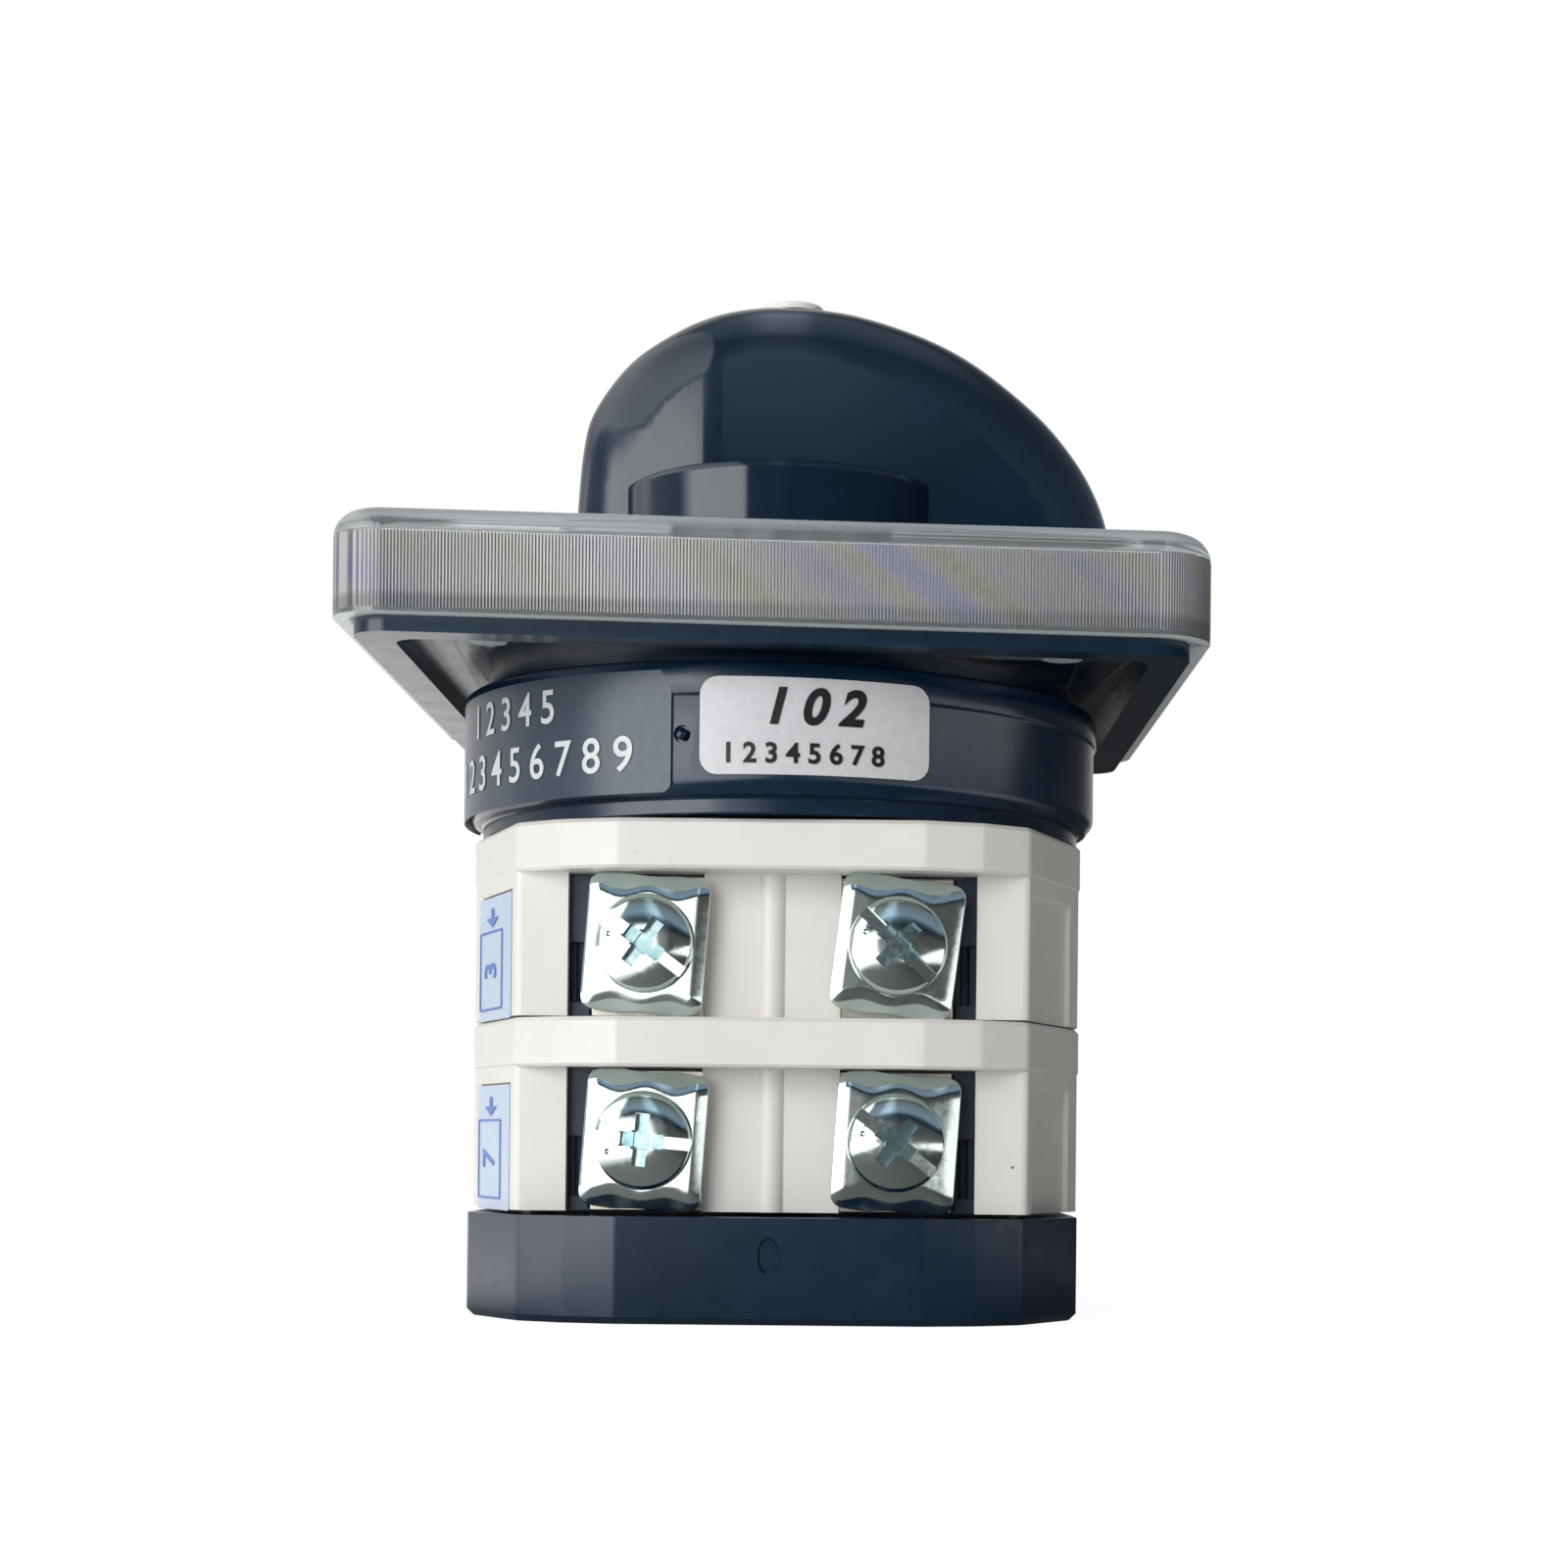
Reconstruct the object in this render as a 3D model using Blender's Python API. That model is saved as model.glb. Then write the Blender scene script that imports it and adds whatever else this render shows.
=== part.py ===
"""Panel-mounted rotary changeover cam switch with two contact stages.

The shaft axis is +Z with the knob on top, and the front terminals face -Y.
Every length below is in millimetres and every mesh is made in metres.
"""
import math

import bmesh
import bpy
from mathutils import Matrix, Vector

MM = 0.001

# Clearances, and how far a cutting solid reaches past what it cuts
SEAM = 0.15
SLIDING_GAP = 0.25
TURNING_GAP = 0.3
CUT_MARGIN = 1.0

# Heights up the stack, from the underside of the end base
BASE_TOP = 7.7
STAGE_HEIGHT = 13.9
BAND_HEIGHT = 3.5
POST_HEIGHT = STAGE_HEIGHT - BAND_HEIGHT
LOWER_STAGE = BASE_TOP
UPPER_STAGE = BASE_TOP + STAGE_HEIGHT
STAGES_TOP = UPPER_STAGE + STAGE_HEIGHT
HOUSING_HEIGHT = 10.7
HOUSING_TOP = STAGES_TOP + HOUSING_HEIGHT
HOUSING_STEP_TOP = STAGES_TOP + 1.4
HOUSING_FLANGE_BOTTOM = HOUSING_TOP - 2.4
HOUSING_CEILING = HOUSING_TOP - 3.2
DIMPLE_Z = HOUSING_TOP - 5.1
DIMPLE_RADIUS = 0.6
DIMPLE_DEPTH = 0.4
STOP_GROOVE_TOP = HOUSING_TOP - 1.8
PLATE_RIM_BOTTOM = HOUSING_TOP + 0.4
PLATE_TOP = PLATE_RIM_BOTTOM + 2.6
LEGEND_TOP = PLATE_TOP + 1.1
COVER_HEIGHT = 7.3
COVER_BOTTOM = PLATE_RIM_BOTTOM + 1.1
COVER_TOP = COVER_BOTTOM + COVER_HEIGHT
KNOB_BOTTOM = COVER_TOP + TURNING_GAP

# Moving contacts: the cam's throw is the slide's travel over sixty degrees
TURN_EACH_WAY = math.radians(60.0)
CAM_MEAN_RADIUS = 6.4
CAM_THROW = 1.3
CAM_THICKNESS = POST_HEIGHT - 4.4
CAM_HUB_RADIUS = CAM_MEAN_RADIUS - CAM_THROW - 0.4
STRIP_THICKNESS = 0.9
CONTACT_PAD = 0.2
CONTACT_PAD_HALF = 1.2
UPRIGHT_OUTER_FACE = CAM_MEAN_RADIUS + CAM_THROW + TURNING_GAP + STRIP_THICKNESS
BRIDGE_INNER_FACE = UPRIGHT_OUTER_FACE + CONTACT_PAD + 0.1 + CAM_THROW
BRIDGE_THICKNESS = 0.9
CARRIER_HALF_X = 2.5
CARRIER_HALF_Z = POST_HEIGHT / 2 - 2.4
BRIDGE_HALF_Z = CARRIER_HALF_Z * 0.57
CARRIER_NOSE = CAM_MEAN_RADIUS + SLIDING_GAP
CARRIER_BACK = BRIDGE_INNER_FACE + BRIDGE_THICKNESS + 0.8
SPRING_RADIUS = 1.65
SPRING_WIRE = 0.22
SPRING_BORE_RADIUS = SPRING_RADIUS + SPRING_WIRE + 0.4

# Terminals, measured from the middle of the switch and the floor of their stage
TERMINAL_X = 8.9
TERMINAL_Z = POST_HEIGHT / 2
SCREW_HEAD_RADIUS = 3.5
SCREW_HEAD_HEIGHT = 2.2
SCREW_SHANK_RADIUS = 1.7
CLAMP_HALF_X = 3.95
CLAMP_HALF_Z = TERMINAL_Z - 0.7
CLAMP_THICKNESS = 0.9
CLAMP_WAVE = 0.28
STRIP_PLATE_HALF_X = 4.05
STRIP_PLATE_HALF_Z = TERMINAL_Z - 0.5
STRIP_LEG_HALF = 1.6

# Black contact chambers, built outwards from the carriers and their travel
CHAMBER_FLOOR = 1.2
STRIP_LEG_Z = CHAMBER_FLOOR + 0.15
GUIDE_RIB_TOP = CHAMBER_FLOOR + 2.1
BRIDGE_HALF_X = TERMINAL_X + 2.1
CAVITY_HALF_X = BRIDGE_HALF_X + 0.4
CAVITY_HALF_Y = CARRIER_BACK + CAM_THROW + SLIDING_GAP
POCKET_FLOOR_Y = CAVITY_HALF_Y + 2.45
CHAMBER_HALF_Y = POCKET_FLOOR_Y + 1.0
STRIP_OUTER_FACE = POCKET_FLOOR_Y + SLIDING_GAP + STRIP_THICKNESS
SCREW_TIP = CAVITY_HALF_Y + 1.05
SPRING_BORE_END = CHAMBER_HALF_Y - 0.6

# White stage frames: posts set back behind a wider band
WINDOW_NEAR = TERMINAL_X - 4.0
WINDOW_FAR = TERMINAL_X + 5.7
CHAMBER_HALF_X = WINDOW_FAR + 1.8
POST_FACE = CHAMBER_HALF_Y + SLIDING_GAP + 1.05
BAND_OVERHANG = 3.9
FRAME_FRONT = POST_FACE + BAND_OVERHANG
FRAME_FLAT_HALF = 10.8
FRAME_SIDE_HALF = 7.0
BAND_SHOULDER_X = 4.1
BAND_SHOULDER_Y = 1.35
BAND_CORNER_RADIUS = 1.3
POST_CORNER_RADIUS = 0.6
OPENING_CORNER_RADIUS = 1.2
CENTRE_RIB_RADIUS = 1.0
LABEL_RECESS_HALF = 4.5
LABEL_RECESS_DEPTH = 0.4
LABEL_RECESS_TOP = POST_HEIGHT - 1.1
CLAMP_BACK = POST_FACE + SLIDING_GAP
SCREW_HEAD_UNDERSIDE = CLAMP_BACK + CLAMP_THICKNESS + CLAMP_WAVE + 0.05

# Tie screws, in the frames' side walls
TIE_X = CHAMBER_HALF_X + 2.5
TIE_RADIUS = 1.45
TIE_HEAD_RADIUS = 2.4
TIE_HEAD_TOP = 2.4
FRAME_CORNER_X = TIE_X - 0.5
FRAME_SIDE = TIE_X + 4.0

# End base
BASE_FRONT = FRAME_FRONT - 0.3
BASE_SIDE = FRAME_SIDE - 0.5
BASE_SIDE_HALF = 13.2
BASE_SHOULDER_X = 3.8
BASE_SHOULDER_Y = 0.9
BASE_CORNER_X = 4.5
BASE_CORNER_Y = 2.7
BASE_CORNER_RADIUS = 1.4
BASE_MARK_Z = 4.9
BASE_MARK_RADIUS = 1.3
BASE_MARK_DEPTH = 0.25

# Shaft and detent
SHAFT_HALF = 3.0
SHAFT_BOTTOM = 3.2
SHAFT_TIP_HEIGHT = 5.7
SHAFT_TOP = KNOB_BOTTOM + SHAFT_TIP_HEIGHT
SHAFT_CLEARANCE_RADIUS = SHAFT_HALF * math.sqrt(2.0) + 0.36
HOUSING_RADIUS = FRAME_SIDE + 1.45
HOUSING_FLANGE_RADIUS = HOUSING_RADIUS + 0.2
HOUSING_STEP_RADIUS = HOUSING_RADIUS - 1.25
DIMPLE_TURN = math.radians(-14.9)
INDEX_APOTHEM = 7.0
INDEX_BOTTOM = HOUSING_STEP_TOP - 0.3
LEAF_THICKNESS = 0.4
LEAF_INNER_FACE = INDEX_APOTHEM + SLIDING_GAP
LEAF_OUTER_FACE = LEAF_INNER_FACE + LEAF_THICKNESS
LEAF_HALF_LENGTH = 15.6
LEAF_FOOT = 1.4
STOP_LUG_RADIUS = 11.4
STOP_DISC_RADIUS = 8.9
STOP_LUG_HALF_ANGLE = math.radians(9.0)
STOP_SPARE_ANGLE = math.radians(1.5)

# Front plate and cover
COVER_HALF = 30.0
COVER_CORNER = 3.8
COVER_WALL = 1.1
COVER_ROOF = 1.6
COVER_FILLET = 1.8
PLATE_HALF = COVER_HALF - COVER_WALL - SLIDING_GAP
PLATE_RIM_WIDTH = 2.6
PLATE_BOSS_RADIUS = HOUSING_RADIUS - 1.55
PANEL_HOLE = COVER_HALF - 6.0
PANEL_HOLE_RADIUS = 1.6
INNER_HOLE = (PANEL_HOLE - 3.6, PANEL_HOLE - 4.2)
INNER_HOLE_RADIUS = 1.45
PLATE_SCREW_RADIUS = 1.25
PLATE_SCREW_HEAD_RADIUS = 2.7
PLATE_SCREW_SEAT = COVER_BOTTOM - 0.3
PLATE_SCREW_TIP = HOUSING_CEILING - 1.7
PLATE_SCREW_CIRCLE = HOUSING_RADIUS - 4.8
PLATE_SCREW_TURNS = (math.radians(-31.0), math.radians(149.0))

# Knob: height above its underside, left end, right end and half thickness of the fin
HUB_RADIUS = 12.7
HUB_HEIGHT = 8.0
HUB_TOP = KNOB_BOTTOM + HUB_HEIGHT
SPIGOT_RADIUS = 7.5
KNOB_SCREW_RADIUS = 1.2
KNOB_SCREW_HEAD_RADIUS = 2.2
KNOB_SCREW_HEAD_HEIGHT = 1.55
KNOB_SCREW_GRIP = 6.0
KNOB_SCREW_DEPTH = 14.7
KNOB_SCREW_SEAT = KNOB_BOTTOM + KNOB_SCREW_DEPTH
PLUG_RADIUS = 2.35
PLUG_BOTTOM = KNOB_SCREW_SEAT + SEAM + KNOB_SCREW_HEAD_HEIGHT + 0.3
KNOB_LEVELS = (
    (0.0, -16.0, 26.8, 6.1),
    (6.6, -15.8, 25.5, 6.05),
    (11.5, -15.4, 22.9, 6.0),
    (13.8, -15.1, 21.0, 5.9),
    (16.1, -14.0, 18.5, 5.75),
    (18.4, -12.0, 15.3, 5.5),
    (20.0, -10.0, 12.7, 5.15),
    (21.4, -7.4, 9.4, 4.6),
    (22.4, -5.0, 6.5, 3.8),
    (23.0, -2.6, 3.6, 2.5),
)
KNOB_TOP = KNOB_BOTTOM + KNOB_LEVELS[-1][0]


def remove_old_objects():
    for old in list(bpy.data.objects):
        bpy.data.objects.remove(old, do_unlink=True)


def plain_material(name, colour, roughness, metallic=0.0, alpha=1.0):
    material = bpy.data.materials.new(name)
    material.use_nodes = True
    shader = material.node_tree.nodes["Principled BSDF"]
    shader.inputs["Base Color"].default_value = (*colour, 1.0)
    shader.inputs["Roughness"].default_value = roughness
    shader.inputs["Metallic"].default_value = metallic
    shader.inputs["Alpha"].default_value = alpha
    return material


# Outlines are lists of (x, y), counter-clockwise

def circle(radius, segments=40, x=0.0, y=0.0, start=0.0):
    turns = [start + 2 * math.pi * step / segments for step in range(segments)]
    return [(x + radius * math.cos(turn), y + radius * math.sin(turn)) for turn in turns]


def rounded(corners, radius, segments=3):
    """Round every corner of a convex outline with a tangent arc."""
    outline = []
    count = len(corners)
    for index, corner in enumerate(corners):
        here = Vector(corner)
        before = (Vector(corners[index - 1]) - here).normalized()
        after = (Vector(corners[(index + 1) % count]) - here).normalized()
        half_angle = before.angle(after) / 2
        middle = here + (before + after).normalized() * (radius / math.sin(half_angle))
        reach = radius / math.tan(half_angle)
        first = here + before * reach - middle
        last = here + after * reach - middle
        swing = first.angle_signed(last)
        for step in range(segments + 1):
            arm = first.copy()
            arm.rotate(Matrix.Rotation(-swing * step / segments, 2))
            outline.append(tuple(middle + arm))
    return outline


def rectangle(half_x, half_y, x=0.0, y=0.0):
    return [
        (x - half_x, y - half_y),
        (x + half_x, y - half_y),
        (x + half_x, y + half_y),
        (x - half_x, y + half_y),
    ]


def four_fold(quarter):
    """Mirror the points of the +X -Y quarter round all four quarters."""
    right_front = [(x, -y) for x, y in quarter]
    right_back = [(x, y) for x, y in reversed(quarter)]
    left_back = [(-x, y) for x, y in quarter]
    left_front = [(-x, -y) for x, y in reversed(quarter)]
    return right_front + right_back + left_back + left_front


def loft(bm, sections, turn=None):
    """Skin a closed solid through (outline, height) sections, bottom to top."""
    rings = []
    for outline, height in sections:
        points = [Vector((x, y, height)) for x, y in outline]
        if turn is not None:
            points = [turn @ point for point in points]
        rings.append([bm.verts.new(point) for point in points])
    count = len(rings[0])
    for lower, upper in zip(rings, rings[1:]):
        for index in range(count):
            after = (index + 1) % count
            bm.faces.new((lower[index], lower[after], upper[after], upper[index]))
    bm.faces.new(list(reversed(rings[0])))
    bm.faces.new(rings[-1])


def prism(bm, outline, bottom, top, turn=None):
    loft(bm, [(outline, bottom), (outline, top)], turn)


def block(bm, x_range, y_range, z_range):
    half_x = (x_range[1] - x_range[0]) / 2
    half_y = (y_range[1] - y_range[0]) / 2
    outline = rectangle(half_x, half_y, x_range[0] + half_x, y_range[0] + half_y)
    prism(bm, outline, z_range[0], z_range[1])


def facing_front(x=0.0, z=0.0):
    """Turn a solid built upwards so that its height points to -Y."""
    return Matrix.Translation((x, 0.0, z)) @ Matrix.Rotation(math.pi / 2, 4, "X")


def mesh_from(name, build):
    bm = bmesh.new()
    build(bm)
    bmesh.ops.recalc_face_normals(bm, faces=bm.faces)
    bm.transform(Matrix.Scale(MM, 4))
    mesh = bpy.data.meshes.new(name)
    bm.to_mesh(mesh)
    bm.free()
    mesh.shade_smooth()
    mesh.set_sharp_from_angle(angle=math.radians(32.0))
    return mesh


def place(name, mesh, material=None, at=(0.0, 0.0, 0.0), turned=(0.0, 0.0, 0.0), parent=None):
    part = bpy.data.objects.new(name, mesh)
    bpy.context.scene.collection.objects.link(part)
    part.location = Vector(at) * MM
    part.rotation_euler = turned
    if material is not None and not mesh.materials:
        mesh.materials.append(material)
    if parent is not None:
        part.parent = parent
    return part


def shape_with(part, operation, build, suffix):
    """Join or cut one hidden tool solid, which moves with the part."""
    tool = place(part.name + "_" + suffix, mesh_from(part.name + "_" + suffix, build), parent=part)
    tool.hide_render = True
    tool.display_type = "WIRE"
    change = part.modifiers.new(suffix, "BOOLEAN")
    change.operation = operation
    change.solver = "EXACT"
    change.object = tool


def cut(part, build, suffix="cut"):
    shape_with(part, "DIFFERENCE", build, suffix)


def add(part, build, suffix="boss"):
    shape_with(part, "UNION", build, suffix)


def axis_empty(name, at=(0.0, 0.0, 0.0)):
    empty = bpy.data.objects.new(name, None)
    bpy.context.scene.collection.objects.link(empty)
    empty.location = Vector(at) * MM
    return empty


def base_outline(inset):
    quarter = [
        (FRAME_FLAT_HALF, BASE_FRONT - inset),
        (FRAME_FLAT_HALF + BASE_SHOULDER_X, BASE_FRONT - BASE_SHOULDER_Y - inset),
        (BASE_SIDE - BASE_CORNER_X, BASE_FRONT - BASE_CORNER_Y - inset * 0.8),
        (BASE_SIDE - inset, BASE_SIDE_HALF - inset * 0.3),
    ]
    return rounded(four_fold(quarter), BASE_CORNER_RADIUS)


def make_end_base(material):
    def body(bm):
        outline = base_outline(0.0)
        loft(bm, [(base_outline(0.5), 0.0), (outline, 0.5), (outline, BASE_TOP - SEAM)])

    def holes(bm):
        prism(bm, circle(SHAFT_HALF + SLIDING_GAP, 20), SHAFT_BOTTOM - 0.4, BASE_TOP + CUT_MARGIN)
        for side in (-1, 1):
            head_bore = circle(TIE_HEAD_RADIUS + SLIDING_GAP, 16, side * TIE_X)
            prism(bm, head_bore, -CUT_MARGIN, TIE_HEAD_TOP + 0.2)

    def tie_bores(bm):
        for side in (-1, 1):
            prism(bm, circle(TIE_RADIUS + 0.2, 10, side * TIE_X), TIE_HEAD_TOP - 0.4, BASE_TOP + CUT_MARGIN)

    def moulded_mark(bm):
        oval = [(x * 0.55, y) for x, y in circle(BASE_MARK_RADIUS, 20)]
        prism(bm, oval, BASE_FRONT - BASE_MARK_DEPTH, BASE_FRONT + CUT_MARGIN, facing_front(0.0, BASE_MARK_Z))

    base = place("end_base", mesh_from("end_base", body), material)
    cut(base, holes, "holes")
    cut(base, tie_bores, "tie_bores")
    cut(base, moulded_mark, "mark")


def band_outline(inset):
    quarter = [
        (FRAME_FLAT_HALF, FRAME_FRONT - inset),
        (FRAME_FLAT_HALF + BAND_SHOULDER_X, FRAME_FRONT - BAND_SHOULDER_Y - inset),
        (FRAME_CORNER_X - inset * 0.6, POST_FACE + 0.1 - inset * 0.6),
        (FRAME_SIDE - inset, FRAME_SIDE_HALF - inset * 0.25),
    ]
    return rounded(four_fold(quarter), BAND_CORNER_RADIUS)


POST_CORNERS = ((FRAME_CORNER_X - 0.1, POST_FACE), (FRAME_SIDE - 0.1, FRAME_SIDE_HALF))


def make_stage_frame(name, floor, material):
    def posts(bm):
        prism(bm, rounded(four_fold(POST_CORNERS), POST_CORNER_RADIUS), SEAM, POST_HEIGHT + 0.5)

    def band(bm):
        outline = band_outline(0.0)
        loft(bm, [
            (band_outline(0.2), POST_HEIGHT),
            (outline, POST_HEIGHT + 0.2),
            (outline, STAGE_HEIGHT - 0.3),
            (band_outline(0.3), STAGE_HEIGHT),
        ])

    def opening(bm):
        outline = rectangle(CHAMBER_HALF_X + SLIDING_GAP, CHAMBER_HALF_Y + SLIDING_GAP)
        prism(bm, rounded(outline, OPENING_CORNER_RADIUS, 2), -CUT_MARGIN, STAGE_HEIGHT + CUT_MARGIN)

    def windows(bm):
        for side_x in (-1, 1):
            near, far = sorted((side_x * WINDOW_NEAR, side_x * WINDOW_FAR))
            z_range = (-CUT_MARGIN, POST_HEIGHT)
            block(bm, (near, far), (-FRAME_FRONT - CUT_MARGIN, CUT_MARGIN - CHAMBER_HALF_Y), z_range)
            block(bm, (near, far), (CHAMBER_HALF_Y - CUT_MARGIN, FRAME_FRONT + CUT_MARGIN), z_range)

    def tie_bores(bm):
        for side in (-1, 1):
            prism(bm, circle(TIE_RADIUS + 0.2, 10, side * TIE_X), -CUT_MARGIN, STAGE_HEIGHT + CUT_MARGIN)

    def label_recesses(bm):
        first, last = (Vector(corner) for corner in POST_CORNERS)
        middle = first.lerp(last, 0.46)
        lean = math.atan2(last.y - first.y, last.x - first.x)
        for side_x in (-1, 1):
            for side_y in (-1, 1):
                turn = (Matrix.Translation((side_x * middle.x, side_y * middle.y, 0.0))
                        @ Matrix.Rotation(side_x * side_y * lean, 4, "Z"))
                recess = rectangle(LABEL_RECESS_HALF, LABEL_RECESS_DEPTH)
                prism(bm, recess, -CUT_MARGIN, LABEL_RECESS_TOP, turn)

    def centre_ribs(bm):
        for side in (-1, 1):
            half_round = circle(CENTRE_RIB_RADIUS, 16, 0.0, side * (POST_FACE - CENTRE_RIB_RADIUS * 0.4))
            prism(bm, half_round, SEAM, POST_HEIGHT + 0.3)

    frame = place(name, mesh_from(name, posts), material, at=(0.0, 0.0, floor))
    add(frame, band, "band")
    add(frame, centre_ribs, "centre_ribs")
    cut(frame, opening, "opening")
    cut(frame, windows, "windows")
    cut(frame, tie_bores, "tie_bores")
    cut(frame, label_recesses, "label_recesses")


def make_contact_chamber(name, floor, material):
    def body(bm):
        prism(bm, rounded(rectangle(CHAMBER_HALF_X, CHAMBER_HALF_Y), 1.0, 2), SEAM, STAGE_HEIGHT - 0.1)

    def cavity(bm):
        outline = rounded(rectangle(CAVITY_HALF_X, CAVITY_HALF_Y), 0.8, 1)
        prism(bm, outline, CHAMBER_FLOOR, STAGE_HEIGHT + CUT_MARGIN)

    def shaft_hole(bm):
        prism(bm, circle(SHAFT_CLEARANCE_RADIUS, 20), -CUT_MARGIN, CHAMBER_FLOOR + 0.5)

    def pockets(bm):
        for side_x in (-1, 1):
            half_x = STRIP_PLATE_HALF_X + 0.2
            x_range = (side_x * TERMINAL_X - half_x, side_x * TERMINAL_X + half_x)
            z_range = (TERMINAL_Z - STRIP_PLATE_HALF_Z - 0.2, TERMINAL_Z + STRIP_PLATE_HALF_Z + 0.2)
            block(bm, x_range, (-CHAMBER_HALF_Y - CUT_MARGIN, -POCKET_FLOOR_Y), z_range)
            block(bm, x_range, (POCKET_FLOOR_Y, CHAMBER_HALF_Y + CUT_MARGIN), z_range)

    def side_steps(bm):
        for side_x in (-1, 1):
            far = WINDOW_FAR + 0.4
            near = TERMINAL_X + STRIP_PLATE_HALF_X - 0.3
            x_range = tuple(sorted((side_x * near, side_x * far)))
            z_range = (CHAMBER_FLOOR, TERMINAL_Z + 0.3)
            block(bm, x_range, (-CHAMBER_HALF_Y - CUT_MARGIN, -POCKET_FLOOR_Y - 0.1), z_range)
            block(bm, x_range, (POCKET_FLOOR_Y + 0.1, CHAMBER_HALF_Y + CUT_MARGIN), z_range)

    def side_ribs(bm):
        for side_x in (-1, 1):
            for side_y in (-1, 1):
                rib = circle(0.35, 8, side_x * (WINDOW_FAR - 0.75), side_y * (POCKET_FLOOR_Y + 0.2))
                prism(bm, rib, CHAMBER_FLOOR - 0.3, TERMINAL_Z + 0.6)

    def leg_slots(bm):
        for side_x in (-1, 1):
            half_x = STRIP_LEG_HALF + SLIDING_GAP
            x_range = (side_x * TERMINAL_X - half_x, side_x * TERMINAL_X + half_x)
            z_range = (STRIP_LEG_Z - 0.2, STRIP_LEG_Z + STRIP_THICKNESS + 0.2)
            block(bm, x_range, (-POCKET_FLOOR_Y - 0.5, -CAVITY_HALF_Y + 0.5), z_range)
            block(bm, x_range, (CAVITY_HALF_Y - 0.5, POCKET_FLOOR_Y + 0.5), z_range)

    def shank_bores(bm):
        for side_x in (-1, 1):
            turn = facing_front(side_x * TERMINAL_X, TERMINAL_Z)
            bore = circle(SCREW_SHANK_RADIUS + 0.25, 10)
            prism(bm, bore, SCREW_TIP - 0.3, POCKET_FLOOR_Y + 0.5, turn)
            prism(bm, bore, -POCKET_FLOOR_Y - 0.5, -SCREW_TIP + 0.3, turn)

    def spring_bores(bm):
        turn = facing_front(0.0, TERMINAL_Z)
        bore = circle(SPRING_BORE_RADIUS, 12)
        prism(bm, bore, CAVITY_HALF_Y - 0.5, SPRING_BORE_END, turn)
        prism(bm, bore, -SPRING_BORE_END, -CAVITY_HALF_Y + 0.5, turn)

    def guide_ribs(bm):
        for side_x in (-1, 1):
            near, far = sorted((side_x * (CARRIER_HALF_X + SLIDING_GAP), side_x * (CARRIER_HALF_X + 1.5)))
            start = CAM_MEAN_RADIUS + CAM_THROW + 2 * TURNING_GAP
            block(bm, (near, far), (-CAVITY_HALF_Y - 0.5, -start), (CHAMBER_FLOOR - 0.5, GUIDE_RIB_TOP))
            block(bm, (near, far), (start, CAVITY_HALF_Y + 0.5), (CHAMBER_FLOOR - 0.5, GUIDE_RIB_TOP))

    chamber = place(name, mesh_from(name, body), material, at=(0.0, 0.0, floor))
    cut(chamber, cavity, "cavity")
    cut(chamber, shaft_hole, "shaft_hole")
    cut(chamber, pockets, "pockets")
    cut(chamber, side_steps, "side_steps")
    add(chamber, side_ribs, "side_ribs")
    cut(chamber, leg_slots, "leg_slots")
    cut(chamber, shank_bores, "shank_bores")
    cut(chamber, spring_bores, "spring_bores")
    add(chamber, guide_ribs, "guide_ribs")


def cam_outline():
    """Rise and fall evenly, so that the carriers move in step with the angle."""
    rate = CAM_THROW / TURN_EACH_WAY
    steps_each_way = 7
    front = []
    for step in range(-steps_each_way, steps_each_way + 1):
        swing = TURN_EACH_WAY * step / steps_each_way
        reach = CAM_MEAN_RADIUS + rate * swing
        front.append((reach * math.sin(swing), -reach * math.cos(swing)))
    back = [(x, -y) for x, y in reversed(front)]
    high = CAM_MEAN_RADIUS + CAM_THROW
    low = CAM_MEAN_RADIUS - CAM_THROW
    nose = [(high * math.cos(turn), high * math.sin(turn)) for turn in (-0.26, 0.0, 0.26)]
    heel = [(-low * math.cos(turn), -low * math.sin(turn)) for turn in (-0.26, 0.0, 0.26)]
    return front + nose + back + heel


def make_cam(name, floor, material, parent):
    middle = TERMINAL_Z

    def hub(bm):
        prism(bm, circle(CAM_HUB_RADIUS, 20), CHAMBER_FLOOR + SLIDING_GAP, STAGE_HEIGHT - SLIDING_GAP)

    def lobe(bm):
        prism(bm, cam_outline(), middle - CAM_THICKNESS / 2, middle + CAM_THICKNESS / 2)

    def shaft_hole(bm):
        half = SHAFT_HALF + 0.12
        prism(bm, rectangle(half, half), -CUT_MARGIN, STAGE_HEIGHT + CUT_MARGIN)

    cam = place(name, mesh_from(name, hub), material, at=(0.0, 0.0, floor), parent=parent)
    add(cam, lobe, "lobe")
    cut(cam, shaft_hole, "shaft_hole")


def make_shaft(material, parent):
    def body(bm):
        square = rounded(rectangle(SHAFT_HALF, SHAFT_HALF), 0.5, 3)
        start = math.atan2(square[0][1], square[0][0])
        journal = circle(SHAFT_HALF - 0.05, len(square), start=start)
        loft(bm, [
            (journal, SHAFT_BOTTOM),
            (journal, BASE_TOP),
            (square, BASE_TOP + 0.6),
            (square, SHAFT_TOP),
        ])

    def screw_bore(bm):
        bottom = SHAFT_TOP - KNOB_SCREW_GRIP - 1.0
        prism(bm, circle(KNOB_SCREW_RADIUS + 0.15, 12), bottom, SHAFT_TOP + CUT_MARGIN)

    shaft = place("shaft", mesh_from("shaft", body), material, parent=parent)
    cut(shaft, screw_bore, "screw_bore")


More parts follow.
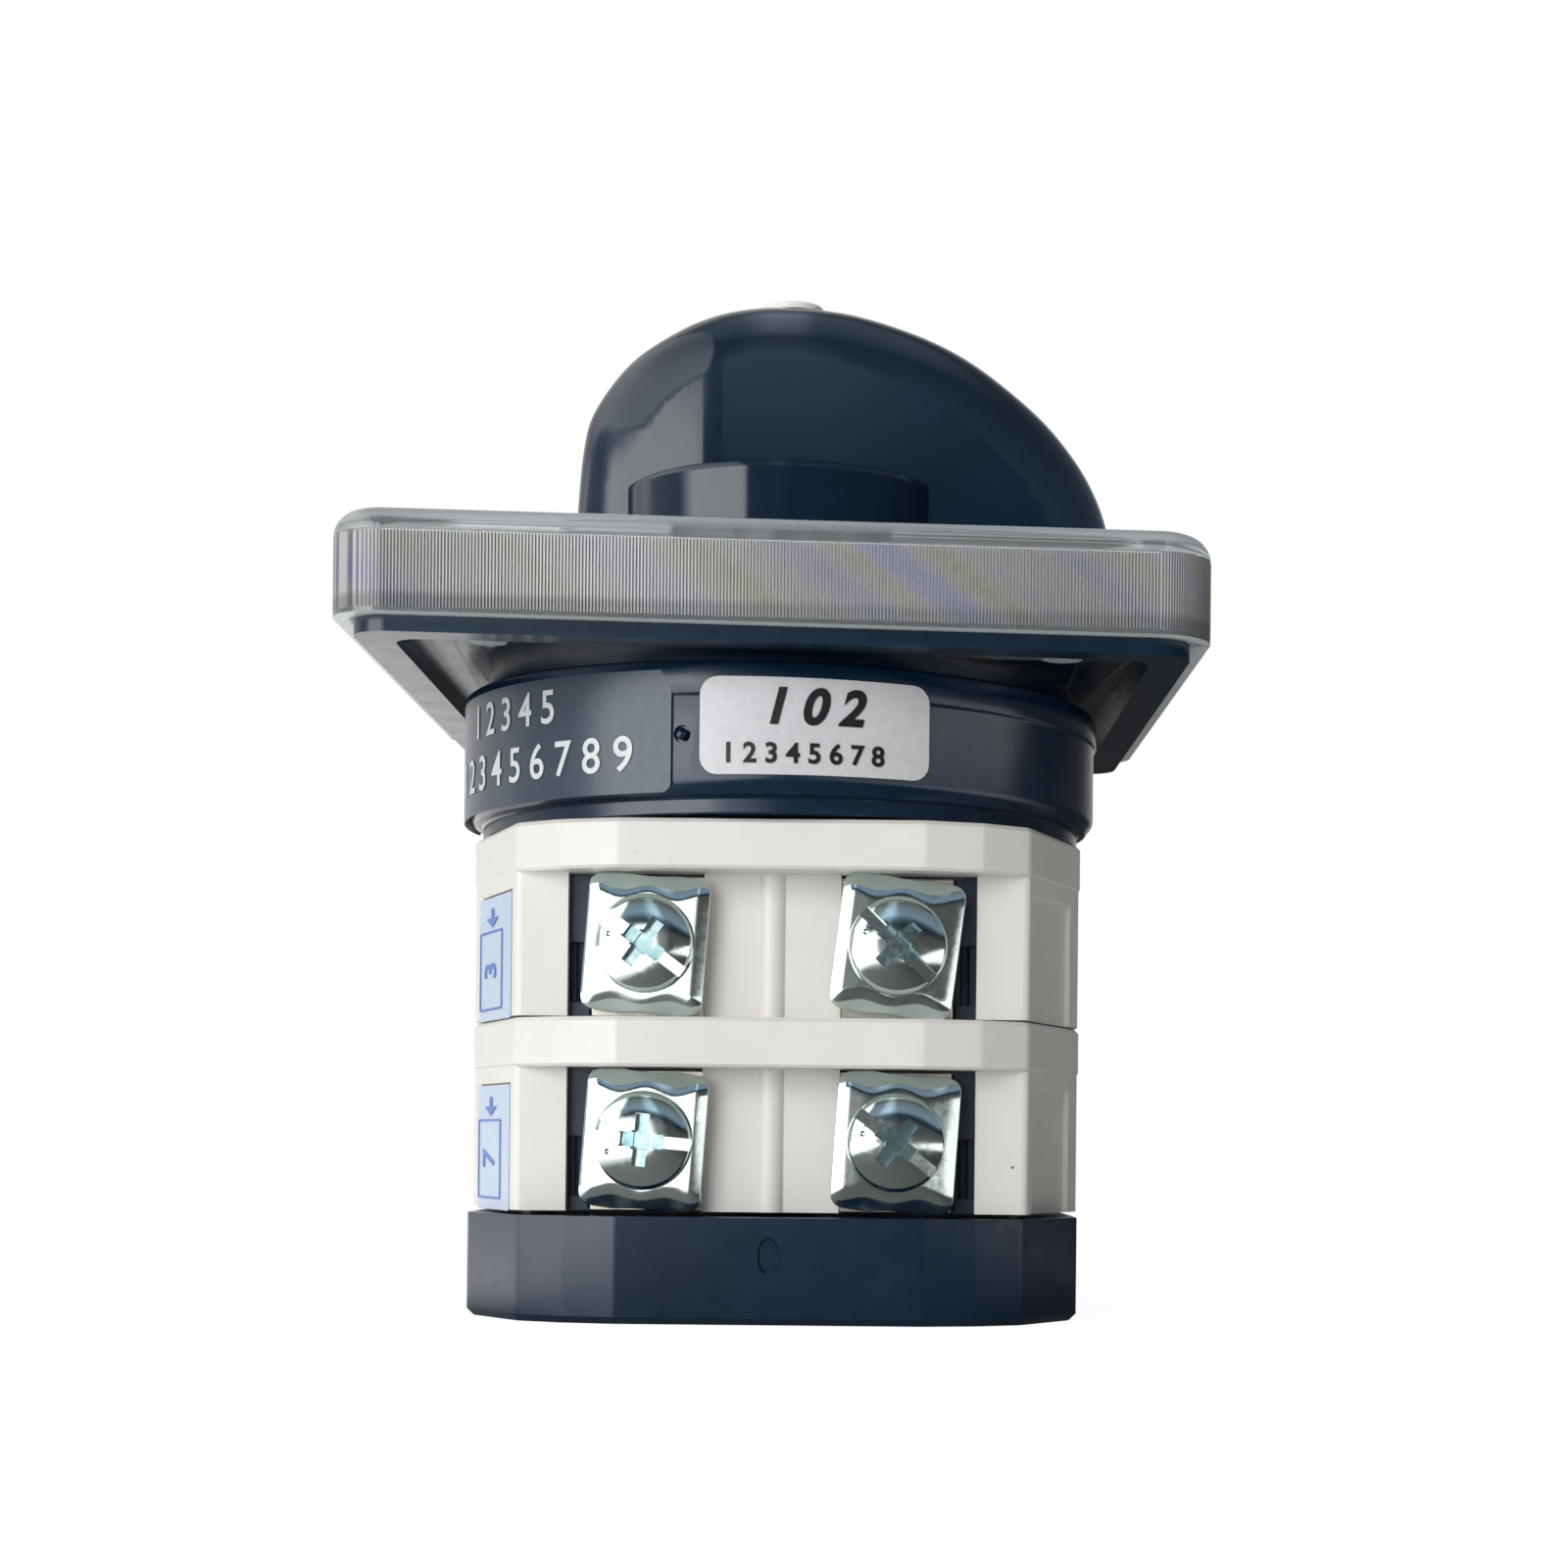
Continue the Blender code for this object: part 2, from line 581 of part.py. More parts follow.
def carrier_mesh():
    def body(bm):
        guide = [
            (-CARRIER_HALF_X, -CARRIER_BACK),
            (CARRIER_HALF_X, -CARRIER_BACK),
            (CARRIER_HALF_X, -CARRIER_NOSE - 1.6),
            (0.9, -CARRIER_NOSE - 0.25),
            (0.0, -CARRIER_NOSE),
            (-0.9, -CARRIER_NOSE - 0.25),
            (-CARRIER_HALF_X, -CARRIER_NOSE - 1.6),
        ]
        prism(bm, guide, -CARRIER_HALF_Z, CARRIER_HALF_Z)

    return mesh_from("contact_carrier", body)


def make_moving_contact(stage, face, floor, carrier, bridge, spring, materials):
    """A carrier with its bridge on one slide, and the spring behind them."""
    turned = (0.0, 0.0, 0.0 if face == "front" else math.pi)
    at = (0.0, 0.0, floor + TERMINAL_Z)
    slide = axis_empty("slide_" + stage + "_" + face, at)
    slide.rotation_euler = turned

    def bridge_slot(bm):
        block(bm, (-CARRIER_HALF_X - 1.0, CARRIER_HALF_X + 1.0),
              (-BRIDGE_INNER_FACE - BRIDGE_THICKNESS - 0.15, -BRIDGE_INNER_FACE + 0.15),
              (-BRIDGE_HALF_Z - 0.15, BRIDGE_HALF_Z + 0.15))

    body = place("contact_carrier_" + stage + "_" + face, carrier, materials["nylon"], parent=slide)
    cut(body, bridge_slot, "slot")
    place("contact_bridge_" + stage + "_" + face, bridge, materials["brass"], parent=slide)
    place("contact_spring_" + stage + "_" + face, spring, materials["spring"], parent=slide)


def bridge_mesh():
    def body(bm):
        outer = BRIDGE_INNER_FACE + BRIDGE_THICKNESS
        outline = rounded(rectangle(BRIDGE_HALF_X, BRIDGE_HALF_Z), BRIDGE_HALF_Z * 0.3, 2)
        prism(bm, outline, BRIDGE_INNER_FACE, outer, facing_front())

    return mesh_from("contact_bridge", body)


def spring_mesh():
    """A helix between the carrier's back and the end of its bore."""
    coils = 4.0
    steps_each_coil = 8
    sides = 4
    start = CARRIER_BACK + SPRING_WIRE + 0.1
    end = SPRING_BORE_END - SPRING_WIRE - 0.1

    def body(bm):
        rings = []
        total = int(coils * steps_each_coil)
        for step in range(total + 1):
            share = step / total
            turn = share * coils * 2 * math.pi
            centre = Vector((SPRING_RADIUS * math.cos(turn), -start - share * (end - start),
                             SPRING_RADIUS * math.sin(turn)))
            outward = Vector((math.cos(turn), 0.0, math.sin(turn)))
            ring = []
            for side in range(sides):
                angle = 2 * math.pi * side / sides
                offset = outward * math.cos(angle) + Vector((0.0, 1.0, 0.0)) * math.sin(angle)
                ring.append(bm.verts.new(centre + offset * SPRING_WIRE))
            rings.append(ring)
        for first, second in zip(rings, rings[1:]):
            for side in range(sides):
                after = (side + 1) % sides
                bm.faces.new((first[side], first[after], second[after], second[side]))
        bm.faces.new(rings[0])
        bm.faces.new(rings[-1])

    return mesh_from("contact_spring", body)


def fixed_contact_mesh():
    """One folded strip: terminal plate, leg through the wall, contact upright."""
    inner_face = STRIP_OUTER_FACE - STRIP_THICKNESS
    upright_inner = UPRIGHT_OUTER_FACE - STRIP_THICKNESS
    leg_top = STRIP_LEG_Z + STRIP_THICKNESS

    def leg(bm):
        profile = [
            (upright_inner, STRIP_LEG_Z),
            (inner_face + 0.3, STRIP_LEG_Z),
            (inner_face + 0.3, leg_top),
            (UPRIGHT_OUTER_FACE, leg_top),
            (UPRIGHT_OUTER_FACE, TERMINAL_Z - CONTACT_PAD_HALF - 0.2),
            (UPRIGHT_OUTER_FACE + CONTACT_PAD, TERMINAL_Z - CONTACT_PAD_HALF),
            (UPRIGHT_OUTER_FACE + CONTACT_PAD, TERMINAL_Z + CONTACT_PAD_HALF),
            (UPRIGHT_OUTER_FACE, TERMINAL_Z + CONTACT_PAD_HALF + 0.2),
            (UPRIGHT_OUTER_FACE, TERMINAL_Z + CONTACT_PAD_HALF + 0.7),
            (upright_inner, TERMINAL_Z + CONTACT_PAD_HALF + 0.7),
        ]
        turn = Matrix(((0, 0, 1, 0), (-1, 0, 0, 0), (0, 1, 0, 0), (0, 0, 0, 1)))
        prism(bm, profile, -STRIP_LEG_HALF, STRIP_LEG_HALF, turn)

    def plate(bm):
        outline = rounded(rectangle(STRIP_PLATE_HALF_X, STRIP_PLATE_HALF_Z), 0.4, 2)
        prism(bm, outline, inner_face, STRIP_OUTER_FACE, facing_front(0.0, TERMINAL_Z))

    def thread(bm):
        prism(bm, circle(SCREW_SHANK_RADIUS + 0.15, 14), inner_face - 0.5, STRIP_OUTER_FACE + 0.5,
              facing_front(0.0, TERMINAL_Z))

    strip = place("strip_form", mesh_from("fixed_contact", leg))
    add(strip, plate, "plate")
    cut(strip, thread, "thread")
    return baked(strip)


def baked(part):
    """Turn a part and its tools into one finished mesh that copies can share."""
    graph = bpy.context.evaluated_depsgraph_get()
    mesh = bpy.data.meshes.new_from_object(part.evaluated_get(graph))
    for tool in list(part.children):
        bpy.data.objects.remove(tool, do_unlink=True)
    bpy.data.objects.remove(part, do_unlink=True)
    return mesh


def clamp_mesh():
    """A bent saddle plate: raised over the wires, low at its two ends."""
    waves = (
        (-1.0, 0.0),
        (-0.82, 0.0),
        (-0.55, CLAMP_WAVE),
        (-0.3, 0.1),
        (0.3, 0.1),
        (0.55, CLAMP_WAVE),
        (0.82, 0.0),
        (1.0, 0.0),
    )

    def body(bm):
        back = [(x * CLAMP_HALF_X, CLAMP_BACK + lift) for x, lift in waves]
        front = [(x, y + CLAMP_THICKNESS) for x, y in reversed(back)]
        turn = Matrix(((1, 0, 0, 0), (0, -1, 0, 0), (0, 0, -1, 0), (0, 0, 0, 1)))
        prism(bm, back + front, -CLAMP_HALF_Z, CLAMP_HALF_Z, turn)

    def corners(bm):
        outer = rectangle(CLAMP_HALF_X + CUT_MARGIN, CLAMP_HALF_Z + CUT_MARGIN)
        inner = rounded(rectangle(CLAMP_HALF_X - 0.02, CLAMP_HALF_Z - 0.02), 1.2, 4)
        ring_bottom = CLAMP_BACK - CUT_MARGIN
        ring_top = CLAMP_BACK + CLAMP_THICKNESS + CLAMP_WAVE + CUT_MARGIN
        frame_ring(bm, outer, inner, ring_bottom, ring_top, facing_front())

    def hole(bm):
        top = CLAMP_BACK + CLAMP_THICKNESS + CLAMP_WAVE + CUT_MARGIN
        prism(bm, circle(SCREW_SHANK_RADIUS + 0.3, 14), CLAMP_BACK - CUT_MARGIN, top, facing_front())

    plate = place("clamp_form", mesh_from("clamp_plate", body))
    cut(plate, corners, "corners")
    cut(plate, hole, "hole")
    return baked(plate)


def frame_ring(bm, outer, inner, bottom, top, turn):
    """A closed ring between a four-cornered outline and a rounded one inside it."""
    share = len(inner) // 4
    outside = [corner for corner in outer for _ in range(share)]
    columns = []
    for outside_point, inside_point in zip(outside, inner):
        columns.append((outside_point, inside_point))
    low_out, high_out, low_in, high_in = [], [], [], []
    corners = {}
    for outside_point, inside_point in columns:
        if outside_point not in corners:
            corners[outside_point] = (
                bm.verts.new(turn @ Vector((*outside_point, bottom))),
                bm.verts.new(turn @ Vector((*outside_point, top))),
            )
        low_out.append(corners[outside_point][0])
        high_out.append(corners[outside_point][1])
        low_in.append(bm.verts.new(turn @ Vector((*inside_point, bottom))))
        high_in.append(bm.verts.new(turn @ Vector((*inside_point, top))))
    count = len(columns)
    for index in range(count):
        after = (index + 1) % count
        bm.faces.new((low_in[after], low_in[index], high_in[index], high_in[after]))
        if low_out[index] is low_out[after]:
            bm.faces.new((low_out[index], low_in[index], low_in[after]))
            bm.faces.new((high_out[index], high_in[after], high_in[index]))
        else:
            bm.faces.new((low_out[index], low_out[after], high_out[after], high_out[index]))
            bm.faces.new((low_out[after], low_out[index], low_in[index], low_in[after]))
            bm.faces.new((high_out[index], high_out[after], high_in[after], high_in[index]))


def terminal_screw_mesh():
    top = SCREW_HEAD_UNDERSIDE + SCREW_HEAD_HEIGHT

    def body(bm):
        sides = 18
        loft(bm, [
            (circle(SCREW_SHANK_RADIUS - 0.3, sides), SCREW_TIP),
            (circle(SCREW_SHANK_RADIUS, sides), SCREW_TIP + 0.4),
            (circle(SCREW_SHANK_RADIUS, sides), SCREW_HEAD_UNDERSIDE),
            (circle(SCREW_HEAD_RADIUS, sides), SCREW_HEAD_UNDERSIDE),
            (circle(SCREW_HEAD_RADIUS, sides), top - 1.0),
            (circle(SCREW_HEAD_RADIUS - 0.3, sides), top - 0.4),
            (circle(SCREW_HEAD_RADIUS - 1.1, sides), top),
        ], facing_front())

    def drive(bm):
        half = SCREW_HEAD_RADIUS + CUT_MARGIN
        prism(bm, rectangle(half, 0.45), top - 1.0, top + CUT_MARGIN, facing_front())

    def cross(bm):
        prism(bm, rectangle(0.45, 1.7), top - 1.3, top + CUT_MARGIN, facing_front())

    screw = place("screw_form", mesh_from("terminal_screw", body))
    cut(screw, drive, "drive")
    cut(screw, cross, "cross")
    return baked(screw)


def make_terminals(materials):
    """Four terminals on each stage: each has its own screw angle and clamp lean."""
    contact = fixed_contact_mesh()
    clamp = clamp_mesh()
    screw = terminal_screw_mesh()
    settings = {
        ("upper", "front", "left"): (37.0, 4.0),
        ("upper", "front", "right"): (44.0, 7.0),
        ("upper", "rear", "left"): (12.0, 3.0),
        ("upper", "rear", "right"): (68.0, 1.5),
        ("lower", "front", "left"): (5.0, 4.0),
        ("lower", "front", "right"): (38.0, 3.7),
        ("lower", "rear", "left"): (81.0, 2.0),
        ("lower", "rear", "right"): (24.0, 5.0),
    }
    floors = {"upper": UPPER_STAGE, "lower": LOWER_STAGE}
    for (stage, face, side), (angle, lean) in settings.items():
        yaw = 0.0 if face == "front" else math.pi
        across = TERMINAL_X if side == "right" else -TERMINAL_X
        tail = stage + "_" + face + "_" + side
        at = (across, 0.0, floors[stage])
        middle = (across, 0.0, floors[stage] + TERMINAL_Z)
        place("fixed_contact_" + tail, contact, materials["brass"], at=at, turned=(0.0, 0.0, yaw))
        place("clamp_plate_" + tail, clamp, materials["zinc"], at=middle,
              turned=(0.0, math.radians(lean), yaw))
        place("terminal_screw_" + tail, screw, materials["zinc"], at=middle,
              turned=(0.0, math.radians(angle), yaw))


def plate_screw_places():
    return [(PLATE_SCREW_CIRCLE * math.cos(turn), PLATE_SCREW_CIRCLE * math.sin(turn))
            for turn in PLATE_SCREW_TURNS]


def make_detent_housing(material):
    def body(bm):
        sides = 56
        loft(bm, [
            (circle(HOUSING_STEP_RADIUS, sides), STAGES_TOP + SEAM),
            (circle(HOUSING_STEP_RADIUS, sides), HOUSING_STEP_TOP),
            (circle(HOUSING_RADIUS - 0.8, sides), HOUSING_STEP_TOP),
            (circle(HOUSING_RADIUS, sides), HOUSING_STEP_TOP + 1.0),
            (circle(HOUSING_RADIUS, sides), HOUSING_FLANGE_BOTTOM),
            (circle(HOUSING_FLANGE_RADIUS, sides), HOUSING_FLANGE_BOTTOM + 0.1),
            (circle(HOUSING_FLANGE_RADIUS, sides), HOUSING_TOP - 0.3),
            (circle(HOUSING_FLANGE_RADIUS - 0.3, sides), HOUSING_TOP),
        ])

    def cavity(bm):
        deep = LEAF_OUTER_FACE + 0.35
        long = LEAF_HALF_LENGTH + 0.4
        cross = [(long - 3.5, long - 0.5), (long - 3.5, deep), (long, deep)]
        prism(bm, four_fold(cross), STAGES_TOP - CUT_MARGIN, HOUSING_CEILING)

    def stop_groove(bm):
        reach = STOP_LUG_RADIUS + 0.4
        half = TURN_EACH_WAY + STOP_LUG_HALF_ANGLE + STOP_SPARE_ANGLE
        hub = STOP_DISC_RADIUS + 0.4
        steps = 20
        sector = []
        for step in range(steps + 1):
            turn = math.pi - half + 2 * half * step / steps
            sector.append((reach * math.cos(turn), reach * math.sin(turn)))
        rest = 2 * math.pi - 2 * half
        for step in range(steps + 1):
            turn = math.pi + half + rest * step / steps
            sector.append((hub * math.cos(turn), hub * math.sin(turn)))
        prism(bm, sector, HOUSING_CEILING - 0.5, STOP_GROOVE_TOP)

    def bores(bm):
        prism(bm, circle(SHAFT_CLEARANCE_RADIUS, 20), STOP_GROOVE_TOP - 0.5, HOUSING_TOP + CUT_MARGIN)
        for side in (-1, 1):
            tie_bore = circle(TIE_RADIUS + 0.2, 10, side * TIE_X)
            prism(bm, tie_bore, STAGES_TOP - CUT_MARGIN, HOUSING_CEILING + 1.2)
        for x, y in plate_screw_places():
            screw_bore = circle(PLATE_SCREW_RADIUS + 0.15, 10, x, y)
            prism(bm, screw_bore, PLATE_SCREW_TIP - 0.3, HOUSING_TOP + CUT_MARGIN)

    def dimple(bm):
        turn = Matrix.Rotation(DIMPLE_TURN, 4, "Z") @ facing_front(0.0, DIMPLE_Z)
        prism(bm, circle(DIMPLE_RADIUS, 16), HOUSING_RADIUS - DIMPLE_DEPTH, HOUSING_RADIUS + CUT_MARGIN, turn)

    housing = place("detent_housing", mesh_from("detent_housing", body), material)
    cut(housing, cavity, "cavity")
    cut(housing, stop_groove, "stop_groove")
    cut(housing, bores, "bores")
    cut(housing, dimple, "dimple")


def make_index_wheel(material, parent):
    corner = INDEX_APOTHEM / math.cos(math.pi / 6)

    def wheel(bm):
        hexagon = circle(corner, 6)
        prism(bm, rounded(hexagon, 0.8, 2), INDEX_BOTTOM, HOUSING_CEILING)

    def stop_flange(bm):
        outline = []
        steps = 26
        first = math.pi + STOP_LUG_HALF_ANGLE
        swing = 2 * math.pi - 2 * STOP_LUG_HALF_ANGLE
        for step in range(steps + 1):
            turn = first + swing * step / steps
            outline.append((STOP_DISC_RADIUS * math.cos(turn), STOP_DISC_RADIUS * math.sin(turn)))
        for turn in (math.pi - STOP_LUG_HALF_ANGLE, math.pi, math.pi + STOP_LUG_HALF_ANGLE):
            outline.append((STOP_LUG_RADIUS * math.cos(turn), STOP_LUG_RADIUS * math.sin(turn)))
        prism(bm, outline, HOUSING_CEILING + 0.05, STOP_GROOVE_TOP - SLIDING_GAP)

    def neck(bm):
        prism(bm, circle(6.0, 20), HOUSING_CEILING - 0.5, HOUSING_CEILING + 0.5)

    def shaft_hole(bm):
        half = SHAFT_HALF + 0.12
        prism(bm, rectangle(half, half), INDEX_BOTTOM - CUT_MARGIN, HOUSING_TOP)

    part = place("index_wheel", mesh_from("index_wheel", wheel), material, parent=parent)
    add(part, neck, "neck")
    add(part, stop_flange, "stop_flange")
    cut(part, shaft_hole, "shaft_hole")


def make_detent_leaves(material):
    def body(bm):
        inner = -LEAF_INNER_FACE
        outer = -LEAF_OUTER_FACE
        outline = [
            (-LEAF_HALF_LENGTH, outer),
            (LEAF_HALF_LENGTH, outer),
            (LEAF_HALF_LENGTH, inner + LEAF_FOOT),
            (LEAF_HALF_LENGTH - LEAF_THICKNESS, inner + LEAF_FOOT),
            (LEAF_HALF_LENGTH - LEAF_THICKNESS, inner),
            (-LEAF_HALF_LENGTH + LEAF_THICKNESS, inner),
            (-LEAF_HALF_LENGTH + LEAF_THICKNESS, inner + LEAF_FOOT),
            (-LEAF_HALF_LENGTH, inner + LEAF_FOOT),
        ]
        prism(bm, outline, HOUSING_STEP_TOP + 0.2, HOUSING_CEILING - 0.4)

    mesh = mesh_from("detent_leaf", body)
    place("detent_leaf_front", mesh, material)
    place("detent_leaf_rear", mesh, material, turned=(0.0, 0.0, math.pi))


def make_front_plate(material):
    slab_bottom = COVER_BOTTOM

    def slab(bm):
        outline = rounded(rectangle(PLATE_HALF, PLATE_HALF), COVER_CORNER - COVER_WALL, 5)
        prism(bm, outline, PLATE_RIM_BOTTOM, PLATE_TOP)

    def recess(bm):
        half = PLATE_HALF - PLATE_RIM_WIDTH
        prism(bm, rounded(rectangle(half, half), 2.0, 4), PLATE_RIM_BOTTOM - CUT_MARGIN, slab_bottom)

    def boss(bm):
        prism(bm, circle(PLATE_BOSS_RADIUS, 40), HOUSING_TOP + SEAM, slab_bottom + 0.5)

    def bores(bm):
        prism(bm, circle(6.0, 20), HOUSING_TOP - CUT_MARGIN, PLATE_TOP + CUT_MARGIN)
        for side_x in (-1, 1):
            for side_y in (-1, 1):
                panel_hole = circle(PANEL_HOLE_RADIUS, 14, side_x * PANEL_HOLE, side_y * PANEL_HOLE)
                prism(bm, panel_hole, HOUSING_TOP - CUT_MARGIN, PLATE_TOP + CUT_MARGIN)
                inner_hole = circle(INNER_HOLE_RADIUS, 12, side_x * INNER_HOLE[0], side_y * INNER_HOLE[1])
                prism(bm, inner_hole, HOUSING_TOP - CUT_MARGIN, PLATE_TOP + CUT_MARGIN)
        for x, y in plate_screw_places():
            bore = circle(PLATE_SCREW_RADIUS + 0.45, 12, x, y)
            prism(bm, bore, HOUSING_TOP - CUT_MARGIN, PLATE_TOP + CUT_MARGIN)

    def head_seats(bm):
        for x, y in plate_screw_places():
            seat = circle(PLATE_SCREW_HEAD_RADIUS + 0.3, 16, x, y)
            prism(bm, seat, PLATE_SCREW_SEAT, PLATE_TOP + CUT_MARGIN)

    plate = place("front_plate", mesh_from("front_plate", slab), material)
    cut(plate, recess, "recess")
    add(plate, boss, "boss")
    cut(plate, bores, "bores")
    cut(plate, head_seats, "head_seats")


def make_plate_screws(material):
    def body(bm):
        underside = PLATE_SCREW_SEAT + SEAM
        loft(bm, [
            (circle(PLATE_SCREW_RADIUS, 12), PLATE_SCREW_TIP),
            (circle(PLATE_SCREW_RADIUS, 12), underside),
            (circle(PLATE_SCREW_HEAD_RADIUS, 12), underside),
            (circle(PLATE_SCREW_HEAD_RADIUS, 12), PLATE_TOP - 0.6),
            (circle(PLATE_SCREW_HEAD_RADIUS - 0.5, 12), PLATE_TOP - 0.15),
        ])

    def slot(bm):
        across = rectangle(PLATE_SCREW_HEAD_RADIUS + CUT_MARGIN, 0.35)
        prism(bm, across, PLATE_TOP - 0.9, PLATE_TOP + CUT_MARGIN)

    screw = place("plate_screw_form", mesh_from("plate_screw", body))
    cut(screw, slot, "slot")
    mesh = baked(screw)
    for index, (x, y) in enumerate(plate_screw_places(), start=1):
        place("plate_screw_%d" % index, mesh, material, at=(x, y, 0.0))


def make_legend_plate(material):
    def body(bm):
        half = PLATE_HALF - 0.6
        prism(bm, rounded(rectangle(half, half), 2.2, 4), PLATE_TOP + SLIDING_GAP, LEGEND_TOP)

    def hole(bm):
        prism(bm, circle(SPIGOT_RADIUS + 0.6, 24), PLATE_TOP - CUT_MARGIN, LEGEND_TOP + CUT_MARGIN)

    legend = place("legend_plate", mesh_from("legend_plate", body), material)
    cut(legend, hole, "hole")


def make_clear_cover(material):
    def body(bm):
        sections = [(rounded(rectangle(COVER_HALF, COVER_HALF), COVER_CORNER, 6), COVER_BOTTOM)]
        for step in range(5):
            turn = math.pi / 2 * step / 4
            inset = COVER_FILLET * (1 - math.cos(turn))
            height = COVER_TOP - COVER_FILLET * (1 - math.sin(turn))
            half = COVER_HALF - inset
            sections.append((rounded(rectangle(half, half), COVER_CORNER - inset, 6), height))
        loft(bm, sections)

    def hollow(bm):
        half = COVER_HALF - COVER_WALL
        outline = rounded(rectangle(half, half), COVER_CORNER - COVER_WALL, 6)
        prism(bm, outline, COVER_BOTTOM - CUT_MARGIN, COVER_TOP - COVER_ROOF)

    def hole(bm):
        prism(bm, circle(SPIGOT_RADIUS + 0.8, 28), COVER_BOTTOM, COVER_TOP + CUT_MARGIN)

    cover = place("clear_cover", mesh_from("clear_cover", body), material)
    cut(cover, hollow, "hollow")
    cut(cover, hole, "hole")


def fin_section(left, right, half_thickness):
    """A bar with two round ends, one section of the knob's fin."""
    end = min(half_thickness, (right - left) / 2) * 0.96
    middle = (left + right) / 2
    outline = rounded(rectangle((right - left) / 2, half_thickness), end, 6)
    return [(x + middle, y) for x, y in outline]


def make_knob(material, parent):
    def fin(bm):
        sections = []
        for rise, left, right, half in KNOB_LEVELS:
            sections.append((fin_section(left, right, half), KNOB_BOTTOM + rise))
        loft(bm, sections)

    def hub(bm):
        loft(bm, [
            (circle(SPIGOT_RADIUS, 36), LEGEND_TOP + 0.3),
            (circle(SPIGOT_RADIUS, 36), KNOB_BOTTOM),
            (circle(HUB_RADIUS, 36), KNOB_BOTTOM),
            (circle(HUB_RADIUS, 36), HUB_TOP - 0.5),
            (circle(HUB_RADIUS - 0.5, 36), HUB_TOP),
        ])

    def socket(bm):
        half = SHAFT_HALF + 0.12
        prism(bm, rectangle(half, half), LEGEND_TOP - CUT_MARGIN, SHAFT_TOP + 0.3)

    def screw_bore(bm):
        prism(bm, circle(KNOB_SCREW_RADIUS + 0.3, 12), SHAFT_TOP - 1.0, KNOB_SCREW_SEAT + CUT_MARGIN)

    def head_bore(bm):
        prism(bm, circle(PLUG_RADIUS + 0.15, 16), KNOB_SCREW_SEAT, KNOB_TOP + CUT_MARGIN)

    knob = place("knob", mesh_from("knob", fin), material, parent=parent)
    add(knob, hub, "hub")
    cut(knob, socket, "socket")
    cut(knob, screw_bore, "screw_bore")
    cut(knob, head_bore, "head_bore")


def make_knob_screw(material, parent):
    underside = KNOB_SCREW_SEAT + SEAM
    top = underside + KNOB_SCREW_HEAD_HEIGHT

    def body(bm):
        loft(bm, [
            (circle(KNOB_SCREW_RADIUS, 12), SHAFT_TOP - KNOB_SCREW_GRIP),
            (circle(KNOB_SCREW_RADIUS, 12), underside),
            (circle(KNOB_SCREW_HEAD_RADIUS, 12), underside),
            (circle(KNOB_SCREW_HEAD_RADIUS, 12), top - 0.4),
            (circle(KNOB_SCREW_HEAD_RADIUS - 0.4, 12), top),
        ])

    def slot(bm):
        prism(bm, rectangle(KNOB_SCREW_HEAD_RADIUS + 0.8, 0.3), top - 0.6, top + 1.0)

    screw = place("knob_screw", mesh_from("knob_screw", body), material, parent=parent)
    cut(screw, slot, "slot")


def make_knob_plug(material, parent):
    def body(bm):
        loft(bm, [
            (circle(PLUG_RADIUS - 0.3, 16), PLUG_BOTTOM),
            (circle(PLUG_RADIUS, 16), PLUG_BOTTOM + 0.3),
            (circle(PLUG_RADIUS, 16), KNOB_TOP - 0.15),
            (circle(PLUG_RADIUS - 0.6, 16), KNOB_TOP + 0.1),
        ])

    place("knob_plug", mesh_from("knob_plug", body), material, parent=parent)


def make_tie_screws(material):
    def body(bm):
        loft(bm, [
            (circle(TIE_HEAD_RADIUS - 0.3, 14), 0.5),
            (circle(TIE_HEAD_RADIUS, 14), 0.8),
            (circle(TIE_HEAD_RADIUS, 14), TIE_HEAD_TOP),
            (circle(TIE_RADIUS, 14), TIE_HEAD_TOP),
            (circle(TIE_RADIUS, 14), HOUSING_CEILING + 0.9),
        ])

    def slot(bm):
        prism(bm, rectangle(TIE_HEAD_RADIUS + CUT_MARGIN, 0.4), -CUT_MARGIN, 1.3)

    screw = place("tie_screw_form", mesh_from("tie_screw", body))
    cut(screw, slot, "slot")
    mesh = baked(screw)
    place("tie_screw_left", mesh, material, at=(-TIE_X, 0.0, 0.0))
    place("tie_screw_right", mesh, material, at=(TIE_X, 0.0, 0.0), turned=(0.0, 0.0, 0.6))


